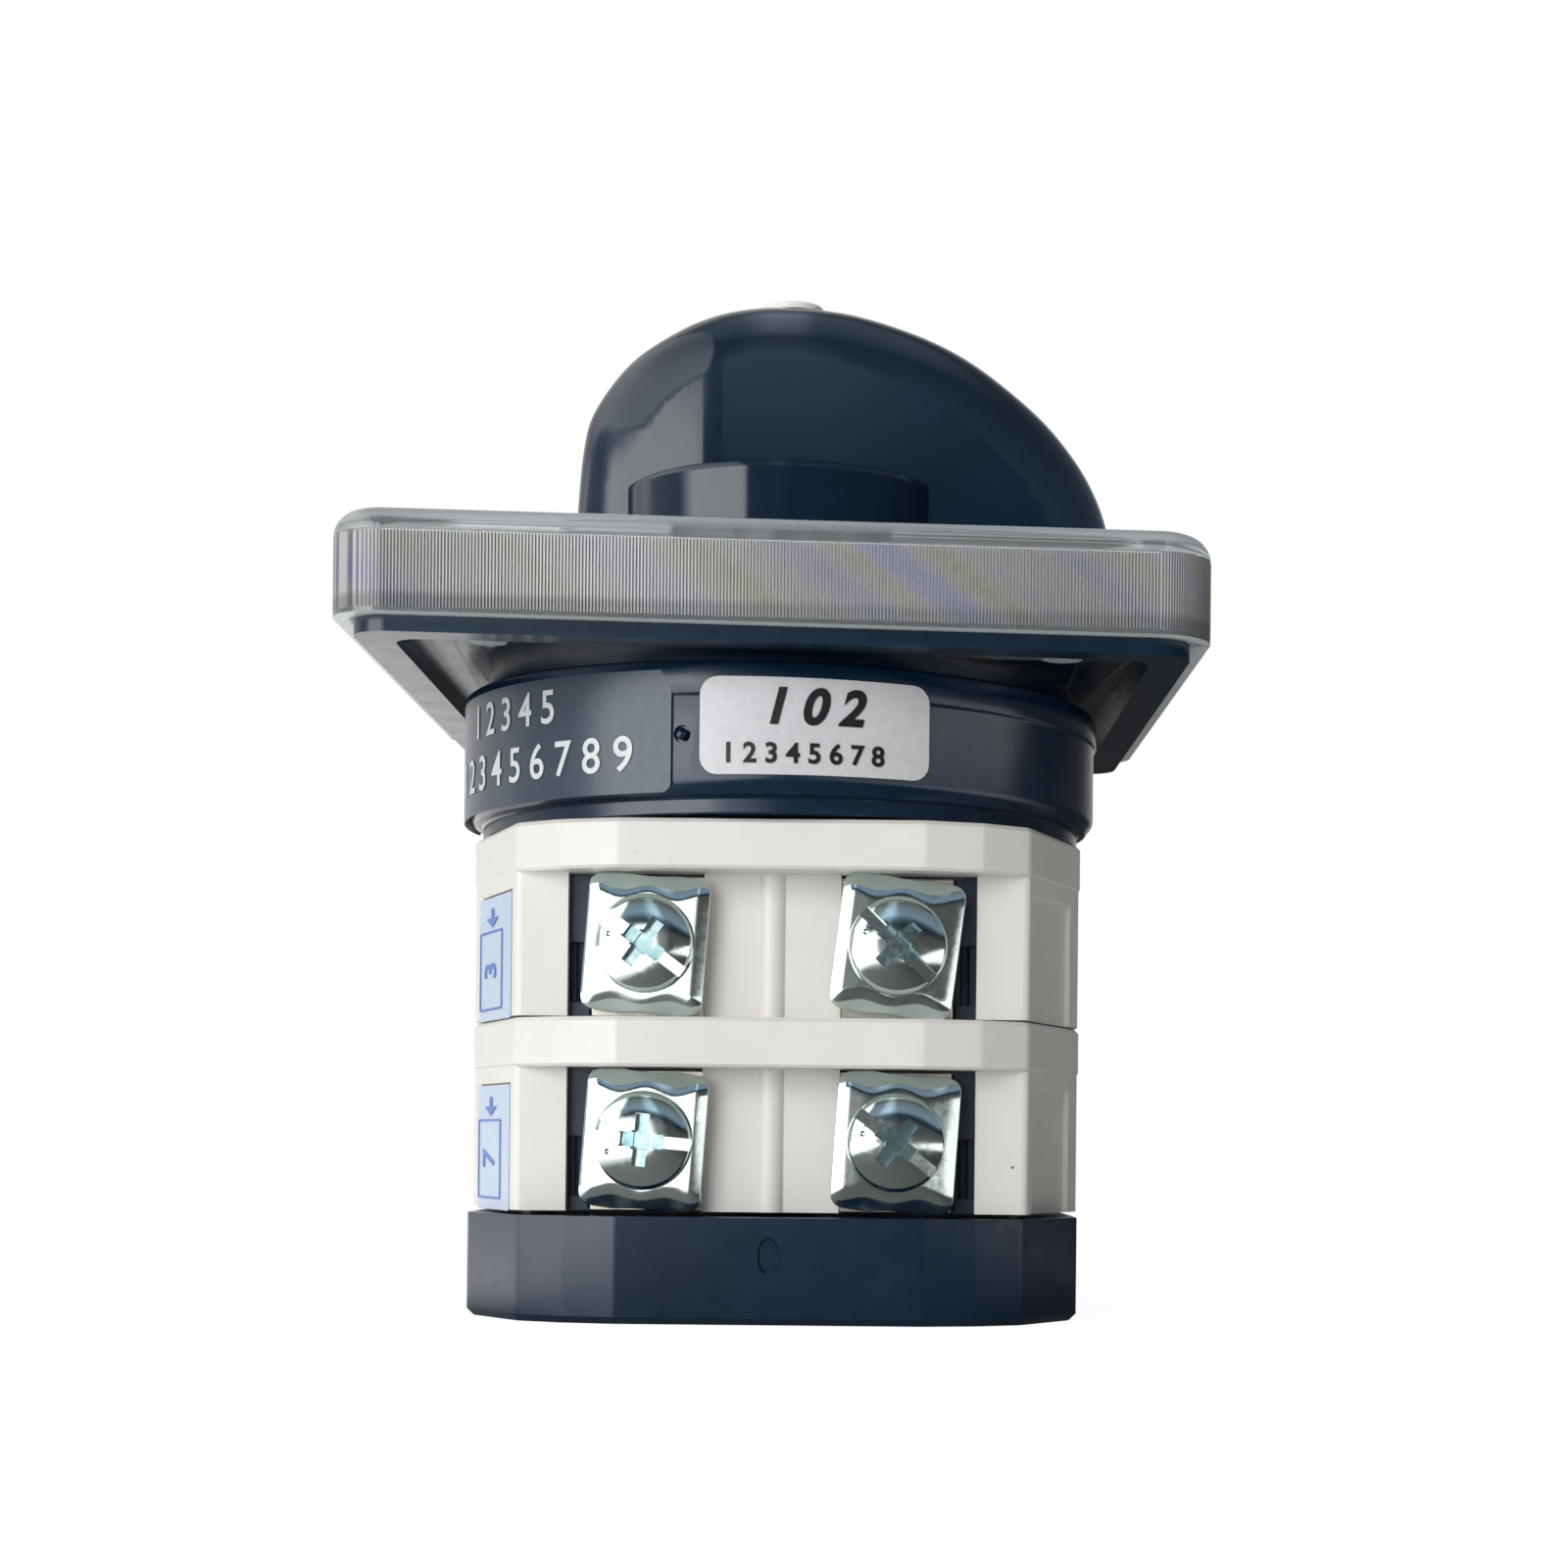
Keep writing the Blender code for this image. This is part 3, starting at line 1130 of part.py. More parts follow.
def main():
    remove_old_objects()
    materials = {
        "black": plain_material("black_plastic", (0.012, 0.019, 0.03), 0.35),
        "knob": plain_material("knob_gloss_black", (0.01, 0.014, 0.022), 0.12),
        "white": plain_material("white_plastic", (0.79, 0.76, 0.71), 0.45),
        "cap": plain_material("cap_white", (0.8, 0.8, 0.78), 0.4),
        "clear": plain_material("clear_plastic", (0.82, 0.84, 0.86), 0.08, 0.0, 0.35),
        "legend": plain_material("legend_grey", (0.62, 0.63, 0.64), 0.4),
        "nylon": plain_material("nylon_natural", (0.7, 0.66, 0.55), 0.5),
        "zinc": plain_material("zinc_plate", (0.62, 0.66, 0.67), 0.28, 1.0),
        "steel": plain_material("steel_shaft", (0.5, 0.5, 0.5), 0.35, 1.0),
        "brass": plain_material("contact_brass", (0.72, 0.66, 0.5), 0.3, 1.0),
        "spring": plain_material("spring_steel", (0.42, 0.43, 0.45), 0.3, 1.0),
    }
    shaft_axis = axis_empty("shaft_axis")

    make_end_base(materials["black"])
    carrier = carrier_mesh()
    bridge = bridge_mesh()
    spring = spring_mesh()
    for stage, floor in (("lower", LOWER_STAGE), ("upper", UPPER_STAGE)):
        make_stage_frame("stage_frame_" + stage, floor, materials["white"])
        make_contact_chamber("contact_chamber_" + stage, floor, materials["black"])
        make_cam("cam_" + stage, floor, materials["nylon"], shaft_axis)
        for face in ("front", "rear"):
            make_moving_contact(stage, face, floor, carrier, bridge, spring, materials)
    make_terminals(materials)
    make_detent_housing(materials["black"])
    make_index_wheel(materials["nylon"], shaft_axis)
    make_detent_leaves(materials["spring"])
    make_tie_screws(materials["zinc"])
    make_front_plate(materials["black"])
    make_plate_screws(materials["zinc"])
    make_legend_plate(materials["legend"])
    make_clear_cover(materials["clear"])
    make_shaft(materials["steel"], shaft_axis)
    make_knob(materials["knob"], shaft_axis)
    make_knob_screw(materials["zinc"], shaft_axis)
    make_knob_plug(materials["cap"], shaft_axis)


main()
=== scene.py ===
import math

import bmesh
import bpy
from mathutils import Matrix, Vector


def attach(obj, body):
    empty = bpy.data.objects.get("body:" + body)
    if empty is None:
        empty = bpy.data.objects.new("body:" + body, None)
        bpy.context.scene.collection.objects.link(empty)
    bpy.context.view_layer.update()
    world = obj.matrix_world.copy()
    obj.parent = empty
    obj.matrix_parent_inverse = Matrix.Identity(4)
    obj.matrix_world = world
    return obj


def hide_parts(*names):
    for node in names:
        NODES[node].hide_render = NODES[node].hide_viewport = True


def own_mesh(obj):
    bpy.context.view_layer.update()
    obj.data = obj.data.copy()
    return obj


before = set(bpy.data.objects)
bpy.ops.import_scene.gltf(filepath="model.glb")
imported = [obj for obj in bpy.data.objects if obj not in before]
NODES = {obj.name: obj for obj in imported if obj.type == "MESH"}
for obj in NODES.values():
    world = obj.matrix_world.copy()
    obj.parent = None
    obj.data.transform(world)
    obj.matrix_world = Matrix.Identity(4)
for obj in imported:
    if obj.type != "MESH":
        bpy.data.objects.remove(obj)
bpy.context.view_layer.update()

MM = 0.001

# Places and sizes shared with the solids, in millimetres
STAGE_FLOORS = {"upper": 21.6, "lower": 7.7}
TERMINAL_X = 8.9
TERMINAL_Z = 5.2
CLAMP_BACK = 18.75
SCREW_HEAD_UNDERSIDE = 19.98
STRIP_FACE = 17.6
STRIP_HALF_X = 4.05
STRIP_HALF_Z = 5.05
FACET_FIRST = Vector((-18.3, -18.5))
FACET_LAST = Vector((-22.8, -7.0))
HOUSING_RADIUS = 24.35
HOUSING_BOTTOM = 35.65
HOUSING_TOP = 46.2
COVER_HALF = 30.0
COVER_CORNER = 3.8
COVER_BOTTOM = 47.7
COVER_TOP = 55.0
COVER_BORE = 8.3
LEGEND_TOP = 50.3
KNOB_BOTTOM = 55.3

# How far the upper part leans in the photograph, to the right
LEAN = math.radians(1.15)

# A direction in which hardly any two faces of a form are level with each other
NUMBERING_WAY = Vector((1.0, 0.618, 0.382))

# Sockets of a Mix node that mixes colours
COLOURS = {"data_type": "RGBA"}
SHARE, FIRST, SECOND, MIXED = 0, 6, 7, 2


# Small tools

def linear(code):
    """Turn an sRGB hex code into the linear colour that shaders use."""
    channels = [int(code[index:index + 2], 16) / 255 for index in (1, 3, 5)]
    turned = [c / 12.92 if c <= 0.04045 else ((c + 0.055) / 1.055) ** 2.4 for c in channels]
    return (*turned, 1.0)


def grey(level):
    return (level, level, level, 1.0)


def add_node(tree, kind, inputs=None, settings=None, stops=None):
    """Add one shader node. An input is a fixed value or another node's output; stops fill a colour ramp."""
    node = tree.nodes.new(kind)
    for name, value in (settings or {}).items():
        setattr(node, name, value)
    for name, value in (inputs or {}).items():
        if isinstance(value, bpy.types.NodeSocket):
            tree.links.new(value, node.inputs[name])
        else:
            node.inputs[name].default_value = value
    if stops:
        elements = node.color_ramp.elements
        elements[0].position, elements[0].color = stops[0]
        elements[1].position, elements[1].color = stops[-1]
        for position, colour in stops[1:-1]:
            elements.new(position).color = colour
    return node


def per_mm(size):
    """Texture scale whose features are about this many millimetres across."""
    return 1000.0 / size


def new_material(name, values):
    material = bpy.data.materials.new(name)
    material.use_nodes = True
    tree = material.node_tree
    shader = tree.nodes["Principled BSDF"]
    for socket, value in values.items():
        shader.inputs[socket].default_value = value
    return material, tree, shader


# Materials

def moulded_plastic(name, dark, light, roughness, grain_mm=0.12, grain_depth=0.004, specks=False):
    """Injection-moulded plastic: a nearly even colour, faint tool grain and patches of softer sheen."""
    material, tree, shader = new_material(name, {"IOR": 1.5})
    place = add_node(tree, "ShaderNodeTexCoord").outputs["Object"]
    cloud = add_node(tree, "ShaderNodeTexNoise", {
        "Vector": place, "Scale": per_mm(9.0), "Detail": 4.0, "Roughness": 0.6})
    tint = add_node(tree, "ShaderNodeValToRGB", {"Fac": cloud.outputs["Fac"]},
                    stops=[(0.3, linear(dark)), (0.7, linear(light))])
    colour = tint.outputs["Color"]
    if specks:
        # Stray dark specks that the eye finds on white mouldings
        cells = add_node(tree, "ShaderNodeTexVoronoi", {
            "Vector": place, "Scale": per_mm(6.5), "Randomness": 1.0})
        dot = add_node(tree, "ShaderNodeValToRGB", {"Fac": cells.outputs["Distance"]},
                       stops=[(0.018, grey(1.0)), (0.028, grey(0.0))])
        speckled = add_node(tree, "ShaderNodeMix", {
            SHARE: dot.outputs["Color"], FIRST: colour, SECOND: linear("#5b5650")}, COLOURS)
        colour = speckled.outputs[MIXED]
    tree.links.new(colour, shader.inputs["Base Color"])
    wear = add_node(tree, "ShaderNodeTexNoise", {
        "Vector": place, "Scale": per_mm(2.2), "Detail": 6.0, "Roughness": 0.7})
    polish = add_node(tree, "ShaderNodeMapRange", {
        "Value": wear.outputs["Fac"], "From Min": 0.3, "From Max": 0.7,
        "To Min": roughness * 0.8, "To Max": roughness * 1.25})
    tree.links.new(polish.outputs["Result"], shader.inputs["Roughness"])
    grain = add_node(tree, "ShaderNodeTexNoise", {
        "Vector": place, "Scale": per_mm(grain_mm), "Detail": 3.0})
    bump = add_node(tree, "ShaderNodeBump", {
        "Height": grain.outputs["Fac"], "Strength": 0.35, "Distance": grain_depth * MM})
    tree.links.new(bump.outputs["Normal"], shader.inputs["Normal"])
    return material


def zinc_plate(name, cold, warm, roughness):
    """Bright passivated zinc: mirror-like, with a cold tint and soft scuffs that break the mirror."""
    material, tree, shader = new_material(name, {"Metallic": 1.0})
    place = add_node(tree, "ShaderNodeTexCoord").outputs["Object"]
    cloud = add_node(tree, "ShaderNodeTexNoise", {
        "Vector": place, "Scale": per_mm(3.0), "Detail": 5.0, "Roughness": 0.6})
    tint = add_node(tree, "ShaderNodeValToRGB", {"Fac": cloud.outputs["Fac"]},
                    stops=[(0.35, linear(cold)), (0.65, linear(warm))])
    tree.links.new(tint.outputs["Color"], shader.inputs["Base Color"])
    scuffs = add_node(tree, "ShaderNodeTexNoise", {
        "Vector": place, "Scale": per_mm(0.5), "Detail": 8.0, "Roughness": 0.7})
    polish = add_node(tree, "ShaderNodeMapRange", {
        "Value": scuffs.outputs["Fac"], "From Min": 0.35, "From Max": 0.7,
        "To Min": roughness * 0.6, "To Max": roughness * 1.7})
    tree.links.new(polish.outputs["Result"], shader.inputs["Roughness"])
    bump = add_node(tree, "ShaderNodeBump", {
        "Height": scuffs.outputs["Fac"], "Strength": 0.25, "Distance": 0.004 * MM})
    tree.links.new(bump.outputs["Normal"], shader.inputs["Normal"])
    return material


def drawn_metal(name, dark, light, roughness):
    """Rolled or drawn metal: a soft gleam with fine level streaks, as rolls or a die leave them."""
    material, tree, shader = new_material(name, {"Metallic": 1.0, "Roughness": roughness})
    place = add_node(tree, "ShaderNodeTexCoord").outputs["Object"]
    stretch = add_node(tree, "ShaderNodeMapping", {"Vector": place, "Scale": (1.0, 1.0, 14.0)})
    streaks = add_node(tree, "ShaderNodeTexNoise", {
        "Vector": stretch.outputs["Vector"], "Scale": per_mm(1.5), "Detail": 6.0})
    tint = add_node(tree, "ShaderNodeValToRGB", {"Fac": streaks.outputs["Fac"]},
                    stops=[(0.3, linear(dark)), (0.7, linear(light))])
    tree.links.new(tint.outputs["Color"], shader.inputs["Base Color"])
    bump = add_node(tree, "ShaderNodeBump", {
        "Height": streaks.outputs["Fac"], "Strength": 0.3, "Distance": 0.004 * MM})
    tree.links.new(bump.outputs["Normal"], shader.inputs["Normal"])
    return material


def clear_polycarbonate(name, colour, roughness):
    """Clear moulded polycarbonate, slightly grey in its thickness, with soft flow waves."""
    material, tree, shader = new_material(name, {
        "Base Color": linear(colour), "Roughness": roughness, "IOR": 1.58, "Transmission Weight": 0.86})
    place = add_node(tree, "ShaderNodeTexCoord").outputs["Object"]
    flow = add_node(tree, "ShaderNodeTexNoise", {"Vector": place, "Scale": per_mm(5.0), "Detail": 3.0})
    bump = add_node(tree, "ShaderNodeBump", {
        "Height": flow.outputs["Fac"], "Strength": 0.2, "Distance": 0.01 * MM})
    tree.links.new(bump.outputs["Normal"], shader.inputs["Normal"])
    return material


RIB_PITCH = 0.225
RIB_BAND_TILT = 1.3
RIB_FOOT = (48.7, 49.2)


def ribbed_polycarbonate():
    """The cover's ribbed skirt: a painted highlight beside a painted shade on each rib, and faint slanted
    bands.
    """
    material, tree, shader = new_material("ribbed_polycarbonate", {
        "Roughness": 0.3, "IOR": 1.58, "Transmission Weight": 0.35})
    place = add_node(tree, "ShaderNodeTexCoord").outputs["Object"]
    axes = add_node(tree, "ShaderNodeSeparateXYZ", {"Vector": place})
    along = add_node(tree, "ShaderNodeMath", {
        0: axes.outputs["X"], 1: axes.outputs["Y"]}, {"operation": "ADD"})
    phase = add_node(tree, "ShaderNodeMath", {
        0: along.outputs["Value"], 1: 2 * math.pi / (RIB_PITCH * MM)}, {"operation": "MULTIPLY"})
    wave = add_node(tree, "ShaderNodeMath", {0: phase.outputs["Value"]}, {"operation": "SINE"})
    # Painted highlight and shade on each rib: the colour swings between the band colour and pale grey with
    # the rib pitch
    lines = add_node(tree, "ShaderNodeMapRange", {
        "Value": wave.outputs["Value"], "From Min": -0.3, "From Max": 0.85})
    slant = add_node(tree, "ShaderNodeMath", {
        0: axes.outputs["Z"], 1: RIB_BAND_TILT, 2: along.outputs["Value"]}, {"operation": "MULTIPLY_ADD"})
    cloud = add_node(tree, "ShaderNodeTexNoise", {
        "W": slant.outputs["Value"], "Scale": per_mm(6.0), "Detail": 1.0}, {"noise_dimensions": "1D"})
    bands = add_node(tree, "ShaderNodeValToRGB", {"Fac": cloud.outputs["Fac"]}, stops=[
        (0.32, linear("#6b684f")), (0.45, linear("#77766b")),
        (0.55, linear("#707283")), (0.68, linear("#5f6286"))])
    bright = add_node(tree, "ShaderNodeMix", {
        SHARE: lines.outputs["Result"], FIRST: bands.outputs["Color"], SECOND: linear("#cdcdcd")}, COLOURS)
    # Painted shade along the foot of the skirt, where the plate's dark edge would show through; it leans
    # with the cover
    foot = add_node(tree, "ShaderNodeMath", {
        0: axes.outputs["X"], 1: math.tan(LEAN), 2: axes.outputs["Z"]}, {"operation": "MULTIPLY_ADD"})
    shade = add_node(tree, "ShaderNodeMapRange", {
        "Value": foot.outputs["Value"], "From Min": RIB_FOOT[0] * MM, "From Max": RIB_FOOT[1] * MM,
        "To Min": 0.5, "To Max": 0.0})
    dimmed = add_node(tree, "ShaderNodeMix", {
        SHARE: shade.outputs["Result"], FIRST: bright.outputs[MIXED], SECOND: linear("#3a444e")}, COLOURS)
    tree.links.new(dimmed.outputs[MIXED], shader.inputs["Base Color"])
    bump = add_node(tree, "ShaderNodeBump", {
        "Height": wave.outputs["Value"], "Strength": 0.5, "Distance": 0.03 * MM})
    tree.links.new(bump.outputs["Normal"], shader.inputs["Normal"])
    return material


def printed_stock(name, colour, fleck, roughness):
    """Coated label stock or ink: even, faintly fibrous, with a soft sheen."""
    material, tree, shader = new_material(name, {"Roughness": roughness, "IOR": 1.45})
    place = add_node(tree, "ShaderNodeTexCoord").outputs["Object"]
    fibre = add_node(tree, "ShaderNodeTexNoise", {
        "Vector": place, "Scale": per_mm(0.6), "Detail": 6.0, "Roughness": 0.65})
    tint = add_node(tree, "ShaderNodeValToRGB", {"Fac": fibre.outputs["Fac"]},
                    stops=[(0.3, linear(fleck)), (0.6, linear(colour))])
    tree.links.new(tint.outputs["Color"], shader.inputs["Base Color"])
    bump = add_node(tree, "ShaderNodeBump", {
        "Height": fibre.outputs["Fac"], "Strength": 0.15, "Distance": 0.003 * MM})
    tree.links.new(bump.outputs["Normal"], shader.inputs["Normal"])
    return material


def legend_sheet():
    """Silver-printed legend sheet: pale and faintly fibrous in front, with its back painted dark as painted
    shade for the plate's holes.
    """
    material, tree, shader = new_material("silver_printed_legend_sheet", {"Roughness": 0.3, "IOR": 1.45})
    place = add_node(tree, "ShaderNodeTexCoord")
    fibre = add_node(tree, "ShaderNodeTexNoise", {
        "Vector": place.outputs["Object"], "Scale": per_mm(0.6), "Detail": 6.0, "Roughness": 0.65})
    silver = add_node(tree, "ShaderNodeValToRGB", {"Fac": fibre.outputs["Fac"]},
                      stops=[(0.3, linear("#adb1b4")), (0.6, linear("#b9bdbf"))])
    facing = add_node(tree, "ShaderNodeSeparateXYZ", {"Vector": place.outputs["Normal"]})
    front = add_node(tree, "ShaderNodeMath", {
        0: facing.outputs["Z"], 1: -0.5}, {"operation": "GREATER_THAN"})
    # Faces that look down get a dark colour: painted shade for the plate's holes seen from below
    both = add_node(tree, "ShaderNodeMix", {
        SHARE: front.outputs["Value"], FIRST: linear("#1a2634"), SECOND: silver.outputs["Color"]}, COLOURS)
    tree.links.new(both.outputs[MIXED], shader.inputs["Base Color"])
    return material


BLACK_NYLON = moulded_plastic("black_moulded_nylon", "#081e33", "#0c253c", 0.22, 0.4, 0.001)
KNOB_ABS = moulded_plastic("polished_black_abs", "#10202f", "#132436", 0.09, 0.5, 0.001)
CHAMBER_PHENOLIC = moulded_plastic("black_moulded_phenolic", "#222e40", "#2b394d", 0.3)
WHITE_PBT = moulded_plastic("white_moulded_pbt", "#e3e1dc", "#e9e7e3", 0.4, grain_mm=0.2, specks=True)
CAP_WHITE = moulded_plastic("white_moulded_cap", "#e6e6e3", "#eeeeec", 0.35)
NATURAL_NYLON = moulded_plastic("natural_moulded_nylon", "#d6cfba", "#e0dac8", 0.45)
ZINC = zinc_plate("bright_zinc_plate", "#d5e3df", "#e0ebe9", 0.09)
ZINC_RECESS = zinc_plate("teal_zinc_recess", "#86aeb4", "#c3d8da", 0.16)
TINNED_STRIP = drawn_metal("tinned_copper_strip", "#dcd6c8", "#eeeae0", 0.22)
SPRING_STEEL = drawn_metal("drawn_spring_steel", "#8c8f93", "#a6a9ad", 0.25)
SHAFT_STEEL = drawn_metal("drawn_square_steel", "#8f9092", "#abacae", 0.3)
CLEAR_TOP = clear_polycarbonate("clear_polycarbonate", "#dfe4e6", 0.06)
CLEAR_RIBS = ribbed_polycarbonate()
CLEAR_RIM = printed_stock("frosted_polycarbonate_rim", "#e6eef0", "#d8e2e6", 0.25)
LEGEND_SHEET = legend_sheet()
LABEL_WHITE = printed_stock("white_vinyl_label", "#d4d5d9", "#cbccd0", 0.3)
LABEL_DARK = printed_stock("dark_vinyl_label", "#3e4a57", "#384451", 0.24)
TERMINAL_LABEL = printed_stock("pale_terminal_label", "#c4d2e8", "#bccbe3", 0.35)
PRINT_BLACK = printed_stock("black_print", "#17181b", "#1d2024", 0.4)
PRINT_WHITE = printed_stock("white_print", "#dfe2e4", "#d4d8da", 0.4)
PRINT_BLUE = printed_stock("blue_print", "#4a74bf", "#5780c6", 0.4)


# Making pieces

def everything(bm):
    return bm.verts[:] + bm.edges[:] + bm.faces[:]


def lean(bm):
    """Set a form of the upper part askew: level at the housing's foot, and leaning from its top upwards."""
    for vertex in bm.verts:
        share = (vertex.co.z / MM - HOUSING_BOTTOM) / (HOUSING_TOP - HOUSING_BOTTOM)
        vertex.co.z -= vertex.co.x * math.tan(LEAN) * max(0.0, min(1.0, share))
    return bm


def link(made):
    bpy.context.scene.collection.objects.link(made)
    return made


def number_by_place(bm):
    """Number edges and faces by where they are, as some mesh operators number them anew on each run."""
    bm.edges.sort(key=lambda edge: (edge.verts[0].co + edge.verts[1].co).dot(NUMBERING_WAY))
    bm.faces.sort(key=lambda face: face.calc_center_median().dot(NUMBERING_WAY))


def finished_mesh(name, bm, materials, sharp=30.0):
    number_by_place(bm)
    mesh = bpy.data.meshes.new(name)
    bm.to_mesh(mesh)
    bm.free()
    for material in materials:
        mesh.materials.append(material)
    mesh.shade_smooth()
    mesh.set_sharp_from_angle(angle=math.radians(sharp))
    return mesh


def piece(name, bm, materials, body, replaced=(), sharp=30.0):
    """Make a finished piece at the origin that rides on a body."""
    made = link(bpy.data.objects.new(name, finished_mesh(name, bm, materials, sharp)))
    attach(made, body)
    if replaced:
        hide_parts(*replaced)
    return made


def soften(made, radius, angle=30.0, segments=3):
    """Round the edges of a piece, as a mould or a tumbling drum leaves them, and keep its flats flat."""
    bevel = made.modifiers.new("soft_edges", "BEVEL")
    bevel.width = radius * MM
    bevel.segments = segments
    bevel.limit_method = "ANGLE"
    bevel.angle_limit = math.radians(angle)
    even = made.modifiers.new("even_faces", "WEIGHTED_NORMAL")
    even.keep_sharp = True
    return made


def merged_solid(node):
    """A copy of a solid's mesh with its loose triangles merged."""
    bm = bmesh.new()
    bm.from_mesh(NODES[node].data)
    bmesh.ops.remove_doubles(bm, verts=bm.verts, dist=0.001 * MM)
    return bm


def rounded_copy(node, name, material, body, radius, angle=30.0):
    """Copy a solid and round its edges; the front plate belongs to the part that leans."""
    bm = merged_solid(node)
    bmesh.ops.dissolve_limit(bm, angle_limit=math.radians(0.5), verts=bm.verts, edges=bm.edges)
    if node == "front_plate":
        lean(bm)
    return soften(piece(name, bm, [material], body, (node,), angle), radius, angle)


def carved(name, bm, tools, materials):
    """Cut tool solids out of a solid; each tool's index says which material its walls get."""
    block = link(bpy.data.objects.new(name, finished_mesh(name, bm, materials)))
    made = []
    for tool_bm, index in tools:
        mesh = finished_mesh(name + "_tool", tool_bm, materials)
        for polygon in mesh.polygons:
            polygon.material_index = index
        tool = link(bpy.data.objects.new(name + "_tool", mesh))
        change = block.modifiers.new("cut", "BOOLEAN")
        change.object = tool
        change.operation = "DIFFERENCE"
        change.solver = "EXACT"
        made.append(tool)
    graph = bpy.context.evaluated_depsgraph_get()
    mesh = bpy.data.meshes.new_from_object(block.evaluated_get(graph))
    for old in made + [block]:
        bpy.data.objects.remove(old, do_unlink=True)
    result = bmesh.new()
    result.from_mesh(mesh)
    bpy.data.meshes.remove(mesh)
    return result


def spun(profile, steps=160):
    """Spin a closed half-profile of (radius, height) about the shaft axis."""
    bm = bmesh.new()
    points = [bm.verts.new((radius * MM, 0.0, height * MM)) for radius, height in profile]
    edges = [bm.edges.new(pair) for pair in zip(points, points[1:] + points[:1])]
    bmesh.ops.spin(bm, geom=points + edges, cent=(0, 0, 0), axis=(0, 0, 1), dvec=(0, 0, 0),
                   angle=2 * math.pi, steps=steps, use_merge=True, use_duplicate=False)
    bmesh.ops.remove_doubles(bm, verts=bm.verts, dist=0.0005 * MM)
    bmesh.ops.recalc_face_normals(bm, faces=bm.faces)
    return bm


def box_form(size, centre):
    bm = bmesh.new()
    bmesh.ops.create_cube(bm, size=1.0)
    bmesh.ops.scale(bm, vec=Vector(size) * MM, verts=bm.verts)
    bmesh.ops.translate(bm, vec=Vector(centre) * MM, verts=bm.verts)
    return bm


def cylinder_form(radius, depth, place, segments=48):
    bm = bmesh.new()
    bmesh.ops.create_cone(bm, cap_ends=True, segments=segments, radius1=radius * MM, radius2=radius * MM,
                          depth=depth * MM, matrix=place)
    return bm


def ball_form(radius, place, around, up):
    bm = bmesh.new()
    bmesh.ops.create_uvsphere(bm, u_segments=around, v_segments=up, radius=radius * MM, matrix=place)
    return bm


def smooth_line(points, steps=5):
    """Run a smooth line through points, with the same tangents from both sides."""
    line = []
    last = len(points) - 1
    for index in range(last):
        places = [max(0, min(last, index + shift)) for shift in (-1, 0, 1, 2)]
        before, start, end, after = (Vector(points[spot]) for spot in places)
        for step in range(steps):
            t = step / steps
            line.append(0.5 * ((2 * start) + (end - before) * t
                               + (2 * before - 5 * start + 4 * end - after) * t * t
                               + (3 * start - before - 3 * end + after) * t * t * t))
    line.append(Vector(points[-1]))
    return line


def bridge(bm, rings, material_index=0):
    """Join each ring of vertices to the next with faces."""
    for lower, upper in zip(rings, rings[1:]):
        edges = []
        for ring in (lower, upper):
            for pair in zip(ring, ring[1:] + ring[:1]):
                edge = bm.edges.get(pair)
                edges.append(edge or bm.edges.new(pair))
        made = bmesh.ops.bridge_loops(bm, edges=edges)
        for face in made["faces"]:
            face.material_index = material_index


# Body

BASE_RING_PLACE = (0.0, -22.08, 4.9)
BASE_RING_NARROWING = 0.55
DIMPLE_ANGLE = -14.9
DIMPLE_PLACE = (0.0, -24.4, 41.1)
DIMPLE_RADIUS = 0.62
DIMPLE_DEPTH = 0.9
BUTTON_RADIUS = 0.42


def make_bodies():
    rounded_copy("end_base", "end_base_moulding", BLACK_NYLON, "housing", 0.15)
    ring = spun([(1.2, -0.06), (1.27, 0.0), (1.34, 0.06), (1.41, 0.0), (1.34, -0.06)], 48)
    bmesh.ops.scale(ring, vec=(BASE_RING_NARROWING, 1.0, 1.0), verts=ring.verts)
    ring.transform(Matrix.Translation(Vector(BASE_RING_PLACE) * MM) @ Matrix.Rotation(math.pi / 2, 4, "X"))
    piece("base_oval_ring", ring, [BLACK_NYLON], "housing")
    rounded_copy("front_plate", "front_plate_moulding", BLACK_NYLON, "housing", 0.2)
    for stage in STAGE_FLOORS:
        rounded_copy("stage_frame_" + stage, "stage_frame_moulding_" + stage, WHITE_PBT, "housing",
                     0.22, 25.0)
        rounded_copy("contact_chamber_" + stage, "contact_chamber_moulding_" + stage, CHAMBER_PHENOLIC,
                     "housing", 0.12)


def make_housing():
    """The round housing, with a groove above its foot, a lip round its top and a dimple with a button."""
    shell = spun([
        (19.0, 35.75), (23.0, 35.75), (23.1, 35.85), (23.1, 36.75), (23.25, 36.9), (23.5, 36.9),
        (23.75, 37.0), (24.2, 37.6), (24.3, 37.8), (24.35, 38.05), (24.35, 43.65), (24.42, 43.8),
        (24.5, 43.87), (24.55, 44.0), (24.55, 45.85), (24.48, 46.05), (24.3, 46.18), (24.1, 46.2),
        (19.0, 46.2),
    ])
    at_dimple = (Matrix.Rotation(math.radians(DIMPLE_ANGLE), 4, "Z")
                 @ Matrix.Translation(Vector(DIMPLE_PLACE) * MM) @ Matrix.Rotation(math.pi / 2, 4, "X"))
    hollow = cylinder_form(DIMPLE_RADIUS, DIMPLE_DEPTH, at_dimple, 32)
    bm = carved("housing_form", shell, [(hollow, 0)], [BLACK_NYLON])
    piece("detent_housing_moulding", lean(bm), [BLACK_NYLON], "housing",
          ("detent_housing",))
    button = ball_form(BUTTON_RADIUS, at_dimple, 24, 12)
    piece("housing_dimple_button", lean(button), [BLACK_NYLON], "housing")


# Knob

